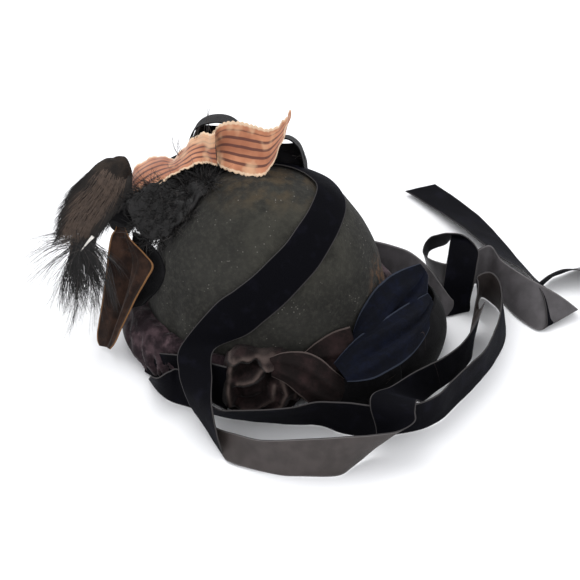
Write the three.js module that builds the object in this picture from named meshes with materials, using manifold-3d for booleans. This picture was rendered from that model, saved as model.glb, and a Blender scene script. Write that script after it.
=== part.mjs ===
// A lady's felt bonnet of the 1880s, lying on its opening: a tall oval felt crown, a gathered velvet band
// round its foot, a twisted velvet knot, navy and black velvet bows, a long velvet tie that crosses the
// crown and lies in loops on the floor, a second tie behind, and a pile of silk, fur and feather trimming.
// +X runs along the crown to the right, +Y to the back, +Z up. The origin is the centre of the opening.
import * as THREE from "three";
import { mergeVertices } from "three/addons/utils/BufferGeometryUtils.js";
import Module from "manifold-3d";

const wasm = await Module();
wasm.setup();

// Felt crown
const CROWN_LENGTH = 200;
const CROWN_WIDTH = 164;
const CROWN_HEIGHT = 150;
const CROWN_FULLNESS = 2.3; // 2 is an ellipse, more is squarer in the shoulder
const FELT = 2.2;

// Gathered band
const BAND_HEIGHT = 39;
const BAND_PUFF = 19;

// Velvet ribbon of the ties, and the wider stuffs of the bows
const TIE_WIDTH = 35;
const BOW_WIDTH = 48;
const SILK_WIDTH = 44;
const RIBBON = 1.2; // thickness

// Knot, fur loop and feathers
const KNOT_RADIUS = 42;
const KNOT_DEPTH = 17;
const FUR = 3;
const LOCK_RADIUS = 3;
const TUFT_DEPTH = 12;

const PAD_RADIUS = 15;
const SEAT = 0.3; // gap that pieces which touch keep
const SLIVER = 0.12; // facets finer than this are smoothed away

const HALF_LENGTH = CROWN_LENGTH / 2;
const HALF_WIDTH = CROWN_WIDTH / 2;
const radians = THREE.MathUtils.degToRad;

// Table helpers

// The rows of a table as objects: the first line names the columns.
function table(columns, ...rows) {
  return rows.map((row) => Object.fromEntries(columns.map((column, i) => [column, row[i]])));
}

// A round table read at an angle, eased between the rows on each side of it.
function around(rows, column, angle) {
  const turn = (from, to) => (((to - from) % 360) + 360) % 360;
  let before = rows[rows.length - 1];
  let after = rows[0];
  rows.forEach((row, i) => {
    const next = rows[(i + 1) % rows.length];
    if (turn(row.at, angle) < turn(row.at, next.at)) [before, after] = [row, next];
  });
  const share = turn(before.at, angle) / turn(before.at, after.at);
  const ease = (1 - Math.cos(Math.PI * share)) / 2;
  return before[column] + (after[column] - before[column]) * ease;
}

// The sum of a table's dents at a place: each fades out over its own width.
function dents(rows, angle, height) {
  return rows.reduce((sum, row) => {
    const aside = ((((angle - row.at) % 360) + 540) % 360) - 180;
    const away = Math.hypot(aside / row.wide, (height - row.up) / row.tall);
    return sum + row.deep * Math.exp(-away * away);
  }, 0);
}

// Solid helpers

// A closed solid through rings of points, each ring an even loop of the same count.
function loft(rings) {
  const count = rings[0].length;
  const points = rings.flat().flatMap((p) => [p.x, p.y, p.z]);
  const faces = [];
  const quad = (a, b, c, d) => faces.push(a, b, c, a, c, d);
  for (let i = 0; i + 1 < rings.length; i++)
    for (let j = 0; j < count; j++) {
      const k = (j + 1) % count;
      quad(i * count + j, i * count + k, (i + 1) * count + k, (i + 1) * count + j);
    }
  const last = (rings.length - 1) * count;
  for (let j = 0; j + 1 < count / 2; j++) {
    const [a, b, c, d] = [count - 1 - j, count - 2 - j, j + 1, j];
    faces.push(a, b, c, a, c, d);
    faces.push(last + a, last + c, last + b, last + a, last + d, last + c);
  }
  return solidOf(points, faces);
}

// A manifold solid from a list of coordinates and faces, turned to face outwards.
function solidOf(points, faces) {
  const geometry = new THREE.BufferGeometry();
  geometry.setAttribute("position", new THREE.Float32BufferAttribute(points, 3));
  geometry.setIndex(faces);
  const merged = mergeVertices(geometry, 1e-3);
  const corners = Array.from(merged.index.array);
  const flat = [];
  for (let i = 0; i < corners.length; i += 3) {
    const [a, b, c] = corners.slice(i, i + 3);
    if (a !== b && b !== c && a !== c) flat.push(a, b, c);
  }
  const made = (triangles) =>
    new wasm.Manifold(
      new wasm.Mesh({
        numProp: 3,
        vertProperties: merged.attributes.position.array,
        triVerts: new Uint32Array(triangles),
      }),
    );
  const solid = made(flat);
  if (solid.volume() > 0) return solid;
  for (let i = 0; i < flat.length; i += 3) [flat[i + 1], flat[i + 2]] = [flat[i + 2], flat[i + 1]];
  return made(flat);
}

// A solid less its neighbours, without the crumbs that a cut leaves.
function fitted(solid, ...neighbours) {
  const cut = neighbours.reduce((left, neighbour) => left.subtract(neighbour), solid);
  const bodies = cut.simplify(SLIVER).decompose();
  return bodies.reduce((a, b) => (a.volume() > b.volume() ? a : b));
}

const joined = (...solids) => solids.reduce((a, b) => a.add(b));

// Crown

// The felt's few soft dents: angle round the crown, share of its height, depth as a share of the height.
const CROWN_DENTS = table(
  ["at", "up", "wide", "tall", "deep"],
  [-70, 0.55, 40, 0.25, 0.008],
  [-10, 0.45, 25, 0.2, 0.012],
  [-150, 0.6, 30, 0.25, 0.01],
  [60, 0.5, 45, 0.3, 0.012],
  [150, 0.35, 35, 0.25, 0.01],
);

// The crown's outer surface towards an angle round it and an angle up, moved out by a lift.
function onCrown(around_, up, lift = 0) {
  const [a, e] = [radians(around_), radians(up)];
  const [across, high] = [Math.cos(e), Math.sin(e)];
  const n = CROWN_FULLNESS;
  const reach = (across ** n + high ** n) ** (-1 / n);
  const sunk = dents(CROWN_DENTS, around_, high * reach) * CROWN_HEIGHT;
  return new THREE.Vector3(
    (HALF_LENGTH + lift - sunk) * reach * across * Math.cos(a),
    (HALF_WIDTH + lift - sunk) * reach * across * Math.sin(a),
    (CROWN_HEIGHT + lift - sunk) * reach * high,
  );
}

// The point of the crown, lifted, that lies straight out from a point in space.
function ontoCrown(point, lift) {
  const across = Math.hypot(point.x / HALF_LENGTH, point.y / HALF_WIDTH);
  const angle = Math.atan2(point.y / HALF_WIDTH, point.x / HALF_LENGTH);
  const up = Math.atan2(point.z / CROWN_HEIGHT, across);
  return onCrown(THREE.MathUtils.radToDeg(angle), THREE.MathUtils.radToDeg(up), lift);
}

const CROWN_SIDES = 36;
const CROWN_RISES = 10;

// A dome open below, between an outer and an inner lift. Without a wall it is solid through.
function dome(outer, wall) {
  const points = [];
  const faces = [];
  const rings = [];
  const lifts = wall ? [outer, outer - wall] : [outer];
  lifts.forEach((lift) => {
    for (let i = 0; i < CROWN_RISES; i++) {
      rings.push(points.length / 3);
      for (let j = 0; j < CROWN_SIDES; j++) {
        const p = onCrown((360 * j) / CROWN_SIDES, (90 * i) / CROWN_RISES, lift);
        points.push(p.x, p.y, p.z);
      }
    }
    const top = onCrown(0, 90, lift);
    rings.push(points.length / 3);
    points.push(0, 0, top.z);
  });
  const band = (low, high, flip) => {
    for (let j = 0; j < CROWN_SIDES; j++) {
      const k = (j + 1) % CROWN_SIDES;
      const quad = [low + j, low + k, high + k, low + j, high + k, high + j];
      faces.push(...(flip ? quad.reverse() : quad));
    }
  };
  const cap = (low, tip, flip) => {
    for (let j = 0; j < CROWN_SIDES; j++) {
      const side = [low + j, low + ((j + 1) % CROWN_SIDES), tip];
      faces.push(...(flip ? side.reverse() : side));
    }
  };
  lifts.forEach((lift, skin) => {
    const first = skin * (CROWN_RISES + 1);
    for (let i = 0; i + 1 < CROWN_RISES; i++) band(rings[first + i], rings[first + i + 1], skin);
    cap(rings[first + CROWN_RISES - 1], rings[first + CROWN_RISES], skin);
  });
  if (wall) {
    band(rings[CROWN_RISES + 1], rings[0], false);
  } else {
    points.push(0, 0, 0);
    cap(rings[0], points.length / 3 - 1, true);
  }
  return solidOf(points, faces);
}

const crown = dome(0, FELT);
const crownRoom = dome(SEAT, 0);

// Band round the foot

// How far the band puffs out and how high it stands, by the angle round the crown.
const BAND_TABLE = table(
  ["at", "puff", "height"],
  [-180, 1.05, 1.0],
  [-150, 1.1, 1.05],
  [-128, 0.95, 1.0],
  [-112, 0.62, 0.95],
  [-95, 0.3, 0.9],
  [-70, 0.3, 0.9],
  [-50, 0.45, 0.85],
  [-25, 0.6, 0.85],
  [0, 0.8, 0.9],
  [35, 1.0, 0.95],
  [90, 1.05, 1.0],
  [140, 1.1, 1.0],
);

// Gathers: creases that run up the band.
const BAND_GATHERS = table(
  ["at", "up", "wide", "tall", "deep"],
  [-168, 0.6, 5, 0.6, 0.16],
  [-154, 0.4, 4, 0.5, 0.12],
  [-141, 0.6, 4, 0.7, 0.18],
  [-20, 0.5, 5, 0.6, 0.14],
  [2, 0.5, 4, 0.7, 0.18],
  [20, 0.6, 5, 0.6, 0.12],
  [38, 0.4, 4, 0.6, 0.18],
  [57, 0.6, 5, 0.7, 0.14],
  [74, 0.5, 4, 0.5, 0.18],
  [92, 0.6, 5, 0.7, 0.12],
  [110, 0.4, 4, 0.6, 0.18],
  [128, 0.6, 5, 0.6, 0.14],
  [146, 0.5, 4, 0.7, 0.18],
  [164, 0.5, 5, 0.6, 0.14],
);

// The rolled edge of the band in section: shares of its puff and of its height.
const BAND_SECTION = table(
  ["out", "up"],
  [0, 0],
  [0.6, 0],
  [0.86, 0.1],
  [1, 0.36],
  [0.93, 0.66],
  [0.66, 0.9],
  [0.3, 1],
  [0, 0.97],
);
const BAND_STEPS = 60;

function bandBody(grow = 0) {
  const rings = [];
  for (let i = 0; i <= BAND_STEPS; i++) {
    const angle = -180 + (360 * i) / BAND_STEPS;
    const high = BAND_HEIGHT * around(BAND_TABLE, "height", angle);
    const ring = BAND_SECTION.map(({ out, up }) => {
      const crease = out > 0 ? dents(BAND_GATHERS, angle, up) : 0;
      const puff = BAND_PUFF * out * (around(BAND_TABLE, "puff", angle) - crease);
      const foot = ontoCrown(
        new THREE.Vector3(
          HALF_LENGTH * Math.cos(radians(angle)),
          HALF_WIDTH * Math.sin(radians(angle)),
          high * up,
        ),
        0,
      );
      const outward = new THREE.Vector3(
        Math.cos(radians(angle)) / HALF_LENGTH,
        Math.sin(radians(angle)) / HALF_WIDTH,
        0,
      ).normalize();
      const rise = up > 0 ? grow : -grow;
      const p = foot.addScaledVector(outward, puff + (out > 0 ? grow : -grow));
      return p.setZ(Math.max(high * up, 0) + rise);
    });
    rings.push(ring);
  }
  return closedLoft(rings);
}

// A ring-shaped solid: the last section is the first one again.
function closedLoft(rings) {
  const count = rings[0].length;
  const turns = rings.length - 1;
  const points = rings
    .slice(0, turns)
    .flat()
    .flatMap((p) => [p.x, p.y, p.z]);
  const faces = [];
  for (let i = 0; i < turns; i++)
    for (let j = 0; j < count; j++) {
      const [a, b] = [i * count, ((i + 1) % turns) * count];
      const k = (j + 1) % count;
      faces.push(a + j, a + k, b + k, a + j, b + k, b + j);
    }
  return solidOf(points, faces);
}

const band = fitted(bandBody(), crownRoom);
const bandRoom = bandBody(SEAT);

// Ribbons

// A section of a ribbon: its left edge, its middle and its right edge.
// Rows of a tie that lies on the floor: x and y are shares of the crown's half length and half width,
// foot is the lower edge's height as a share of the width, and turn and tilt are the direction from the
// left edge to the right one, in degrees round +Z and up.
function floorSections(rows, width) {
  return rows.map((row) => {
    const [turn, tilt] = [radians(row.turn), radians(row.tilt)];
    const half = (width * (row.wide ?? 1)) / 2;
    const cross = new THREE.Vector3(
      Math.cos(tilt) * Math.cos(turn),
      Math.cos(tilt) * Math.sin(turn),
      Math.sin(tilt),
    );
    const middle = new THREE.Vector3(
      row.x * HALF_LENGTH,
      row.y * HALF_WIDTH,
      RIBBON + row.foot * width + half * Math.abs(cross.z),
    );
    return [
      middle.clone().addScaledVector(cross, -half),
      middle,
      middle.clone().addScaledVector(cross, half),
    ];
  });
}

// Rows of a bow or loop up on the trimming: as above, but z is its middle's share of the crown's height.
function trimSections(rows, width) {
  return rows.map((row) => {
    const [turn, tilt] = [radians(row.turn), radians(row.tilt)];
    const half = (width * row.wide) / 2;
    const cross = new THREE.Vector3(
      Math.cos(tilt) * Math.cos(turn),
      Math.cos(tilt) * Math.sin(turn),
      Math.sin(tilt),
    );
    const middle = new THREE.Vector3(row.x * HALF_LENGTH, row.y * HALF_WIDTH, row.z * CROWN_HEIGHT);
    return [
      middle.clone().addScaledVector(cross, -half),
      middle,
      middle.clone().addScaledVector(cross, half),
    ];
  });
}

// Rows of a tie laid over the crown: where its middle lies on the felt, and how its edges turn there,
// measured from the way round the crown towards the way up it.
function crownSections(rows, width) {
  return rows.map((row) => {
    const lift = RIBBON + SEAT + row.lift * width;
    const middle = onCrown(row.at, row.up, lift);
    const east = onCrown(row.at + 2, row.up, lift).sub(middle).normalize();
    const north = onCrown(row.at, row.up + 2, lift).sub(middle).normalize();
    const turn = radians(row.turn);
    const cross = east.multiplyScalar(Math.cos(turn)).addScaledVector(north, Math.sin(turn));
    const half = (width * (row.wide ?? 1)) / 2;
    return [
      ontoCrown(middle.clone().addScaledVector(cross, -half), lift),
      middle,
      ontoCrown(middle.clone().addScaledVector(cross, half), lift),
    ];
  });
}

// Sections between the rows, on a smooth curve through them.
function smooth(sections, between) {
  const curves = [0, 1, 2].map(
    (side) => new THREE.CatmullRomCurve3(sections.map((s) => s[side]), false, "catmullrom", 0.5),
  );
  const steps = (sections.length - 1) * between;
  const onFloor = (p) => p.setZ(Math.max(p.z, RIBBON / 2));
  return Array.from({ length: steps + 1 }, (_, i) =>
    curves.map((curve) => onFloor(curve.getPoint(i / steps))),
  );
}

// A ribbon's solid through smooth sections. Cup bows the middle out, as a share of the ribbon's width.
function ribbonBody(sections, { thick = RIBBON, cup = 0 } = {}) {
  const facing = sections.slice(1).map(([left, , right], i) => {
    const rising = right.clone().sub(sections[i][0]);
    return rising.cross(left.clone().sub(sections[i][2])).normalize();
  });
  const rings = sections.map(([left, middle, right], i) => {
    const before = facing[Math.max(i - 1, 0)];
    const normal = before.clone().add(facing[Math.min(i, facing.length - 1)]);
    if (normal.length() < 0.5) normal.copy(before);
    normal.normalize();
    const across = right.clone().sub(left);
    const raised = middle.clone().addScaledVector(normal, cup * across.length());
    const edge = across.normalize().multiplyScalar((thick - RIBBON) / 2);
    const ends = [left.clone().sub(edge), right.clone().add(edge)];
    const line = cup ? [ends[0], raised, ends[1]] : ends;
    const face = (side) => line.map((p) => p.clone().addScaledVector(normal, (side * thick) / 2));
    return [...face(1), ...face(-1).reverse()];
  });
  const step = (a, b) =>
    cup ? loft([a, b]) : wasm.Manifold.hull([...a, ...b].map((p) => [p.x, p.y, p.z]));
  return wasm.Manifold.union(rings.slice(1).map((ring, i) => step(rings[i], ring)));
}

const roomy = (sections, options) => ribbonBody(sections, { ...options, thick: RIBBON + 2 * SEAT });

// Front tie

// Over the crown, from behind the trimming to the foot of the felt.
const TIE_ON_CROWN = table(
  ["at", "up", "lift", "turn", "wide"],
  [112, 67, 0.02, -90, 0.8],
  [72, 67, 0.02, -90, 0.8],
  [36, 66, 0.03, -92, 0.8],
  [8, 63.5, 0.04, -95, 0.8],
  [-12, 61, 0.04, -92, 0.8],
  [-38, 57.5, 0.02, -66, 0.8],
  [-55, 53, 0.02, -52, 0.84],
  [-68, 47.5, 0.02, -49, 0.88],
  [-80, 42, 0.02, -47, 0.92],
  [-89, 37, 0.02, -46, 0.95],
  [-98, 32, 0.02, -44, 0.98],
  [-107, 26.5, 0.02, -36, 1],
);

// Down over the band, through a soft fold, along the floor to the right, up through a second fold, round
// the far loop and back to the pointed fold at the left.
const TIE_ON_FLOOR = table(
  ["x", "y", "foot", "turn", "tilt", "wide"],
  [-0.53, -0.95, 1.19, -15, 6, 0.8],
  [-0.53, -1.31, 1.11, -29, 9, 0.87],
  [-0.51, -1.5, 0.91, -46, 17, 1],
  [-0.48, -1.59, 0.65, -55, 14, 1.09],
  [-0.46, -1.62, 0.42, -55, -8, 1.16],
  [-0.44, -1.63, 0, -54, -23, 1.36],
  [-0.39, -1.68, 0, -58, -18, 1.36],
  [-0.28, -1.8, 0, -55, -21, 1.04],
  [-0.12, -1.92, 0, -45, -36, 0.95],
  [0.06, -2.03, 0, -30, -54, 0.95],
  [0.28, -2.07, 0, -60, -82, 0.97],
  [0.54, -2.06, 0, -100, -82, 1],
  [0.72, -1.97, 0, 170, -70, 1],
  [0.87, -1.88, 0.1, 165, -52, 1],
  [0.96, -1.82, 0.5, 160, -36, 1],
  [0.94, -1.72, 1.02, 160, -10, 1],
  [0.97, -1.53, 0.9, -175, 15, 1],
  [1.08, -1.3, 0.3, -165, 40, 1],
  [1.24, -1.04, 0.02, -156, 55, 1],
  [1.44, -0.85, 0, -138, 65, 1],
  [1.58, -0.66, 0, -125, 70, 1],
  [1.67, -0.45, 0, -100, 86, 1],
  [1.73, -0.12, 0, 10, 74, 1],
  [1.76, 0.14, 0, 60, -80, 1],
  [1.78, 0.36, 0, 60, -75, 1],
  [1.86, 0.44, 0, 100, -75, 1],
  [1.94, 0.28, 0, 60, -80, 1],
  [1.96, 0.04, 0, 40, -76, 1],
  [1.92, -0.27, 0, 45, -70, 1],
  [1.83, -0.55, 0, 55, -68, 1],
  [1.73, -0.78, 0, 60, -68, 1],
  [1.6, -0.99, 0, 56, -72, 1],
  [1.45, -1.22, 0, 55, -75, 1],
  [1.32, -1.42, 0, 60, -75, 1],
  [1.16, -1.54, 0, 65, -76, 1],
  [1.01, -1.58, 0, 70, -82, 1],
  [0.82, -1.61, 0, 80, -85, 1],
  [0.6, -1.57, 0, 80, -85, 1],
  [0.4, -1.5, 0, 80, -73, 1],
  [0.18, -1.52, 0, 90, -64, 1],
  [-0.2, -1.5, 0, 90, -54, 1.05],
  [-0.4, -1.43, 0, 92, -53, 1.06],
  [-0.63, -1.16, 0, -50, -81, 0.95],
  [-0.75, -1.12, 0, 117, -84, 0.95],
  [-0.85, -1.06, 0, 104, -57, 0.98],
  [-0.92, -0.95, 0, 101, -44, 1.05],
);

const tieFrontSections = smooth(
  [...crownSections(TIE_ON_CROWN, TIE_WIDTH), ...floorSections(TIE_ON_FLOOR, TIE_WIDTH)],
  2,
);

// Back tie

const TIE_BEHIND = table(
  ["x", "y", "foot", "turn", "tilt", "wide"],
  [0.605, 1.065, 0.1, 250, -85, 1],
  [0.845, 0.915, 0.02, 240, -80, 1],
  [1.04, 0.81, 0, 250, -76, 1],
  [1.21, 0.68, 0, 262, -66, 1],
  [1.37, 0.51, 0, 278, -47, 0.99],
  [1.45, 0.29, 0, 268, -59, 0.78],
  [1.51, 0.22, 0, 213, -39, 0.51],
  [1.58, 0.21, 0, 198, 0, 0.74],
  [1.59, 0.27, 0.34, 162, -9, 0.71],
  [1.61, 0.33, 0.77, 142, -10, 0.82],
  [1.64, 0.47, 1.24, 131, -4, 0.93],
  [1.66, 0.61, 1.43, 127, -5, 0.94],
  [1.62, 0.78, 1.12, 108, -35, 0.88],
  [1.54, 0.86, 0.78, 84, -51, 0.98],
  [1.46, 0.9, 0.62, 80, -54, 0.96],
  [1.41, 0.93, 0.51, 77, -56, 0.9],
  [1.38, 0.96, 0.31, 74, -51, 0.92],
  [1.37, 0.93, 0.08, 74, -50, 1],
  [1.4, 0.81, 0, 72, -66, 0.84],
  [1.46, 0.68, 0, 46, -87, 0.77],
  [1.54, 0.58, 0, 280, -81, 0.84],
  [1.68, 0.66, 0, 32, -82, 0.89],
  [1.9, 0.8, 0, 265, -70, 1],
  [2, 0.56, 0, 268, -55, 1],
  [2.14, 0.3, 0, 250, -52, 1],
  [2.33, 0.09, 0, 224, -39, 1],
  [2.45, 0.06, 0.04, 212, -14, 1],
  [2.47, 0.12, 0.12, 216, 4, 1],
  [2.4, 0.34, 0.06, 228, 34, 1],
  [2.28, 0.64, 0, 228, 45, 1],
  [2.14, 0.98, 0, 222, 34, 1],
  [2.01, 1.34, 0, 214, 26, 1],
  [1.9, 1.66, 0, 208, 20, 1],
  [1.75, 2.0, 0, 206, 12, 1],
  [1.57, 2.33, 0, 206, 8, 1],
  [1.44, 2.54, 0, 210, 6, 1],
);

const tieBackSections = smooth(floorSections(TIE_BEHIND, TIE_WIDTH), 2);

// The same tie's other end, which lies behind and runs off to the right to a slanting cut.
const TIE_END = table(
  ["x", "y", "foot", "turn", "tilt", "wide"],
  [2.36, 0.62, 0.02, 240, 40, 0.5],
  [2.46, 0.74, 0.02, 250, 42, 0.6],
  [2.56, 0.78, 0.02, 262, 45, 0.75],
  [2.7, 0.82, 0, 268, 35, 0.95],
  [2.84, 0.86, 0, 270, 25, 0.9],
  [2.92, 0.9, 0, 285, 18, 0.6],
);
const tieEndSections = smooth(floorSections(TIE_END, TIE_WIDTH), 2);

// The second thickness of the front tie: it turns back at the pointed fold, stands against the band behind
// the first and is tucked under the knot.
const TIE_UNDER = table(
  ["x", "y", "foot", "turn", "tilt", "wide"],
  [-0.98, -0.68, 0, 90, 80, 0.2],
  [-0.91, -0.76, 0.05, 90, 80, 0.6],
  [-0.77, -0.91, 0.1, 85, 82, 0.85],
  [-0.6, -1.02, 0.12, 85, 82, 0.98],
  [-0.45, -1.11, 0.1, 85, 80, 1],
  [-0.3, -1.22, 0.04, 85, 82, 1.15],
);
const tieUnderSections = smooth(floorSections(TIE_UNDER, TIE_WIDTH), 2);

// Velvet knot

// Outline of the twisted knot round its middle, as shares of its radius.
const KNOT_OUTLINE = table(
  ["at", "reach"],
  [0, 0.8],
  [54, 0.73],
  [90, 0.62],
  [131, 0.83],
  [180, 0.72],
  [208, 0.86],
  [250, 0.66],
  [287, 0.67],
  [307, 0.71],
  [340, 0.78],
);
const KNOT_SIDES = 28;
const KNOT_RINGS = 7;
const KNOT_PLEATS = 5;
const KNOT_TWIST = 1.2; // radians that a pleat turns from the rim to the middle
const KNOT_PLEAT_DEPTH = 0.22;

// A disc of pleats that turn into the middle, facing forwards from the band.
function knotBody() {
  const middle = new THREE.Vector3(-0.03 * HALF_LENGTH, -1.18 * HALF_WIDTH, 0.62 * BAND_HEIGHT);
  const aside = new THREE.Vector3(1, 0, 0);
  const upward = new THREE.Vector3(0, 0.3, 0.95).normalize();
  const forward = aside.clone().cross(upward).normalize();
  const place = (angle, share, depth) => {
    const reach = KNOT_RADIUS * around(KNOT_OUTLINE, "reach", angle) * share;
    const p = middle
      .clone()
      .addScaledVector(aside, reach * Math.cos(radians(angle)))
      .addScaledVector(upward, reach * Math.sin(radians(angle)))
      .addScaledVector(forward, depth);
    return p.setZ(Math.max(p.z, 0));
  };
  const rings = [];
  for (let i = 1; i <= KNOT_RINGS; i++) {
    const share = i / KNOT_RINGS;
    rings.push(
      Array.from({ length: KNOT_SIDES }, (_, j) => {
        const angle = (360 * j) / KNOT_SIDES;
        const pleat = Math.cos(KNOT_PLEATS * radians(angle) + KNOT_PLEATS * KNOT_TWIST * share);
        const dome = Math.sqrt(1 - 0.9 * share ** 2.5) + KNOT_PLEAT_DEPTH * pleat * share;
        return place(angle, share, KNOT_DEPTH * (dome - 0.35));
      }),
    );
  }
  rings.push(
    Array.from({ length: KNOT_SIDES }, (_, j) => place((360 * j) / KNOT_SIDES, 1, -KNOT_DEPTH)),
  );
  return loft(rings);
}

// The knot's tail: a strip that comes out of the twist and runs down to the right.
const KNOT_TAIL = table(
  ["x", "y", "z", "turn", "tilt", "wide"],
  [0.04, -1.22, 0.3, -80, -55, 0.3],
  [0.15, -1.24, 0.3, -85, -50, 0.5],
  [0.28, -1.26, 0.27, -100, -52, 0.7],
  [0.39, -1.27, 0.22, -105, -55, 0.76],
  [0.5, -1.26, 0.17, -100, -58, 0.62],
  [0.6, -1.22, 0.14, -95, -60, 0.36],
);

// The band's upper edge turned up against the crown to the right of the knot.
const TURN_UP = table(
  ["x", "y", "z", "turn", "tilt", "wide"],
  [0.3, -1.05, 0.23, -75, -62, 0.4],
  [0.42, -1.02, 0.23, -70, -58, 0.7],
  [0.56, -0.97, 0.25, -68, -54, 0.82],
  [0.7, -0.9, 0.26, -65, -50, 0.8],
);

// Bows

// Navy bow: a broad upper leaf that points up to the right, and a tail that points down to the left.
const NAVY_LEAF = table(
  ["x", "y", "z", "turn", "tilt", "wide"],
  [0.68, -0.92, 0.27, -85, -30, 0.5],
  [0.8, -0.84, 0.33, -60, -28, 0.75],
  [0.9, -0.7, 0.35, -45, -32, 0.85],
  [0.99, -0.52, 0.37, -38, -38, 0.86],
  [1.1, -0.35, 0.39, -36, -43, 0.8],
  [1.19, -0.22, 0.41, -33, -47, 0.62],
  [1.26, -0.1, 0.45, -28, -54, 0.26],
);
const NAVY_TAIL = table(
  ["x", "y", "z", "turn", "tilt", "wide"],
  [0.57, -1.2, 0.25, -60, -10, 0.42],
  [0.65, -1.16, 0.27, -66, -14, 0.6],
  [0.75, -1.1, 0.29, -65, -18, 0.75],
  [0.87, -1.0, 0.31, -65, -22, 0.8],
  [1.0, -0.87, 0.32, -66, -26, 0.8],
  [1.13, -0.68, 0.32, -66, -32, 0.72],
  [1.24, -0.48, 0.32, -60, -40, 0.52],
  [1.31, -0.3, 0.33, -57, -45, 0.25],
);

// Black loops under the navy bow: one stands out to the right, one lies along the band in front.
const BLACK_RIGHT = table(
  ["x", "y", "z", "turn", "tilt", "wide"],
  [0.98, -0.88, 0.16, -75, -76, 0.98],
  [1.16, -0.76, 0.16, -60, -78, 0.98],
  [1.32, -0.52, 0.16, -35, -78, 0.98],
  [1.4, -0.22, 0.16, -10, -78, 0.98],
  [1.36, 0.06, 0.15, 20, -78, 0.9],
  [1.22, 0.2, 0.14, 60, -80, 0.8],
  [1.04, 0.22, 0.14, 90, -82, 0.8],
);
const BLACK_FRONT = table(
  ["x", "y", "z", "turn", "tilt", "wide"],
  [0.3, -1.28, 0.04, -90, -70, 0.15],
  [0.45, -1.27, 0.07, -90, -70, 0.4],
  [0.6, -1.24, 0.1, -85, -68, 0.62],
  [0.76, -1.14, 0.12, -75, -68, 0.75],
  [0.92, -1.0, 0.13, -65, -70, 0.8],
  [1.03, -0.9, 0.13, -60, -72, 0.8],
);

// Left trimming

// Brown silk loop that hangs from the trimming down past the band to the floor.
const BROWN_LOOP = table(
  ["x", "y", "z", "turn", "tilt", "wide"],
  [-1.15, 0.04, 0.69, -50, 0, 0.2],
  [-1.11, -0.1, 0.68, -50, 0, 0.25],
  [-1.06, -0.19, 0.64, -32, -8, 0.55],
  [-1.03, -0.28, 0.58, -26, 4, 0.72],
  [-1.07, -0.33, 0.48, -28, 20, 0.74],
  [-1.14, -0.37, 0.35, -33, 32, 0.72],
  [-1.24, -0.4, 0.19, -41, 36, 0.6],
  [-1.31, -0.4, 0.07, -49, 30, 0.36],
);

// Black velvet fold between the brown loop and the crown.
const BLACK_FOLD = table(
  ["x", "y", "z", "turn", "tilt", "wide"],
  [-1.0, -0.1, 0.68, -45, 5, 0.3],
  [-0.95, -0.2, 0.62, -35, 5, 0.6],
  [-0.94, -0.28, 0.52, -30, 14, 0.75],
  [-0.99, -0.31, 0.4, -30, 26, 0.75],
  [-1.07, -0.32, 0.29, -35, 35, 0.55],
);

// Fur-covered loop, open at its lower left: the middle of each ring and its two half widths.
const FUR_LOOP = table(
  ["x", "y", "z", "turn", "tilt", "wide", "deep"],
  [-1.49, 0.0, 0.67, -90, -72, 12, 7],
  [-1.45, 0.05, 0.73, -60, -66, 14, 8],
  [-1.36, 0.13, 0.8, -20, -45, 17, 9],
  [-1.26, 0.22, 0.87, 0, -25, 18, 9],
  [-1.2, 0.31, 0.93, 0, -12, 15, 8],
  [-1.17, 0.36, 0.98, 0, -8, 9, 5],
  [-1.17, 0.37, 1.0, 0, -8, 3, 2],
);
const FUR_SIDES = 16;

function sleeve(rows, wall, grow = 0) {
  const centres = rows.map(
    (r) => new THREE.Vector3(r.x * HALF_LENGTH, r.y * HALF_WIDTH, r.z * CROWN_HEIGHT),
  );
  const ringAt = (i, inset) => {
    const { turn, tilt, wide, deep } = rows[i];
    const along = centres[Math.min(i + 1, rows.length - 1)]
      .clone()
      .sub(centres[Math.max(i - 1, 0)])
      .normalize();
    const side = new THREE.Vector3(
      Math.cos(radians(tilt)) * Math.cos(radians(turn)),
      Math.cos(radians(tilt)) * Math.sin(radians(turn)),
      Math.sin(radians(tilt)),
    );
    side.addScaledVector(along, -side.dot(along)).normalize();
    const front = along.clone().cross(side);
    return Array.from({ length: FUR_SIDES }, (_, j) => {
      const a = (2 * Math.PI * j) / FUR_SIDES;
      return centres[i]
        .clone()
        .addScaledVector(side, (wide + grow - inset) * Math.cos(a))
        .addScaledVector(front, (deep + grow - inset) * Math.sin(a));
    });
  };
  const last = rows.length - 1;
  const outside = rows.map((_, i) => ringAt(last - i, 0));
  if (!wall) {
    const mouth = centres[0].clone().sub(centres[1]).setLength(2 * SEAT);
    return loft([...outside, ringAt(0, 0).map((p) => p.add(mouth))]);
  }
  const inside = rows.slice(0, last - 1).map((_, i) => ringAt(i, wall));
  return loft([...outside, ...inside]);
}

// Feathers

// A lock of feather: a tapering strand through a root, a bend and a tip, in shares of the crown's sizes.
const LOCK_SIDES = 5;
const LOCK_STEPS = 3;
function lock(root, bend, tip, thick) {
  const sized = ([x, y, z]) => new THREE.Vector3(x * HALF_LENGTH, y * HALF_WIDTH, z * CROWN_HEIGHT);
  const curve = new THREE.QuadraticBezierCurve3(sized(root), sized(bend), sized(tip));
  const rings = Array.from({ length: LOCK_STEPS + 1 }, (_, i) => {
    const t = i / LOCK_STEPS;
    const along = curve.getTangent(t);
    const side = new THREE.Vector3(0, 0, 1).cross(along).normalize();
    const front = along.clone().cross(side);
    const radius = thick * Math.max(0.15, Math.sqrt(1 - t) * (0.75 + 0.5 * t));
    return Array.from({ length: LOCK_SIDES }, (_, j) => {
      const a = (2 * Math.PI * j) / LOCK_SIDES;
      return curve
        .getPoint(t)
        .addScaledVector(side, radius * Math.cos(a))
        .addScaledVector(front, radius * Math.sin(a));
    });
  });
  return loft(rings);
}

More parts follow.
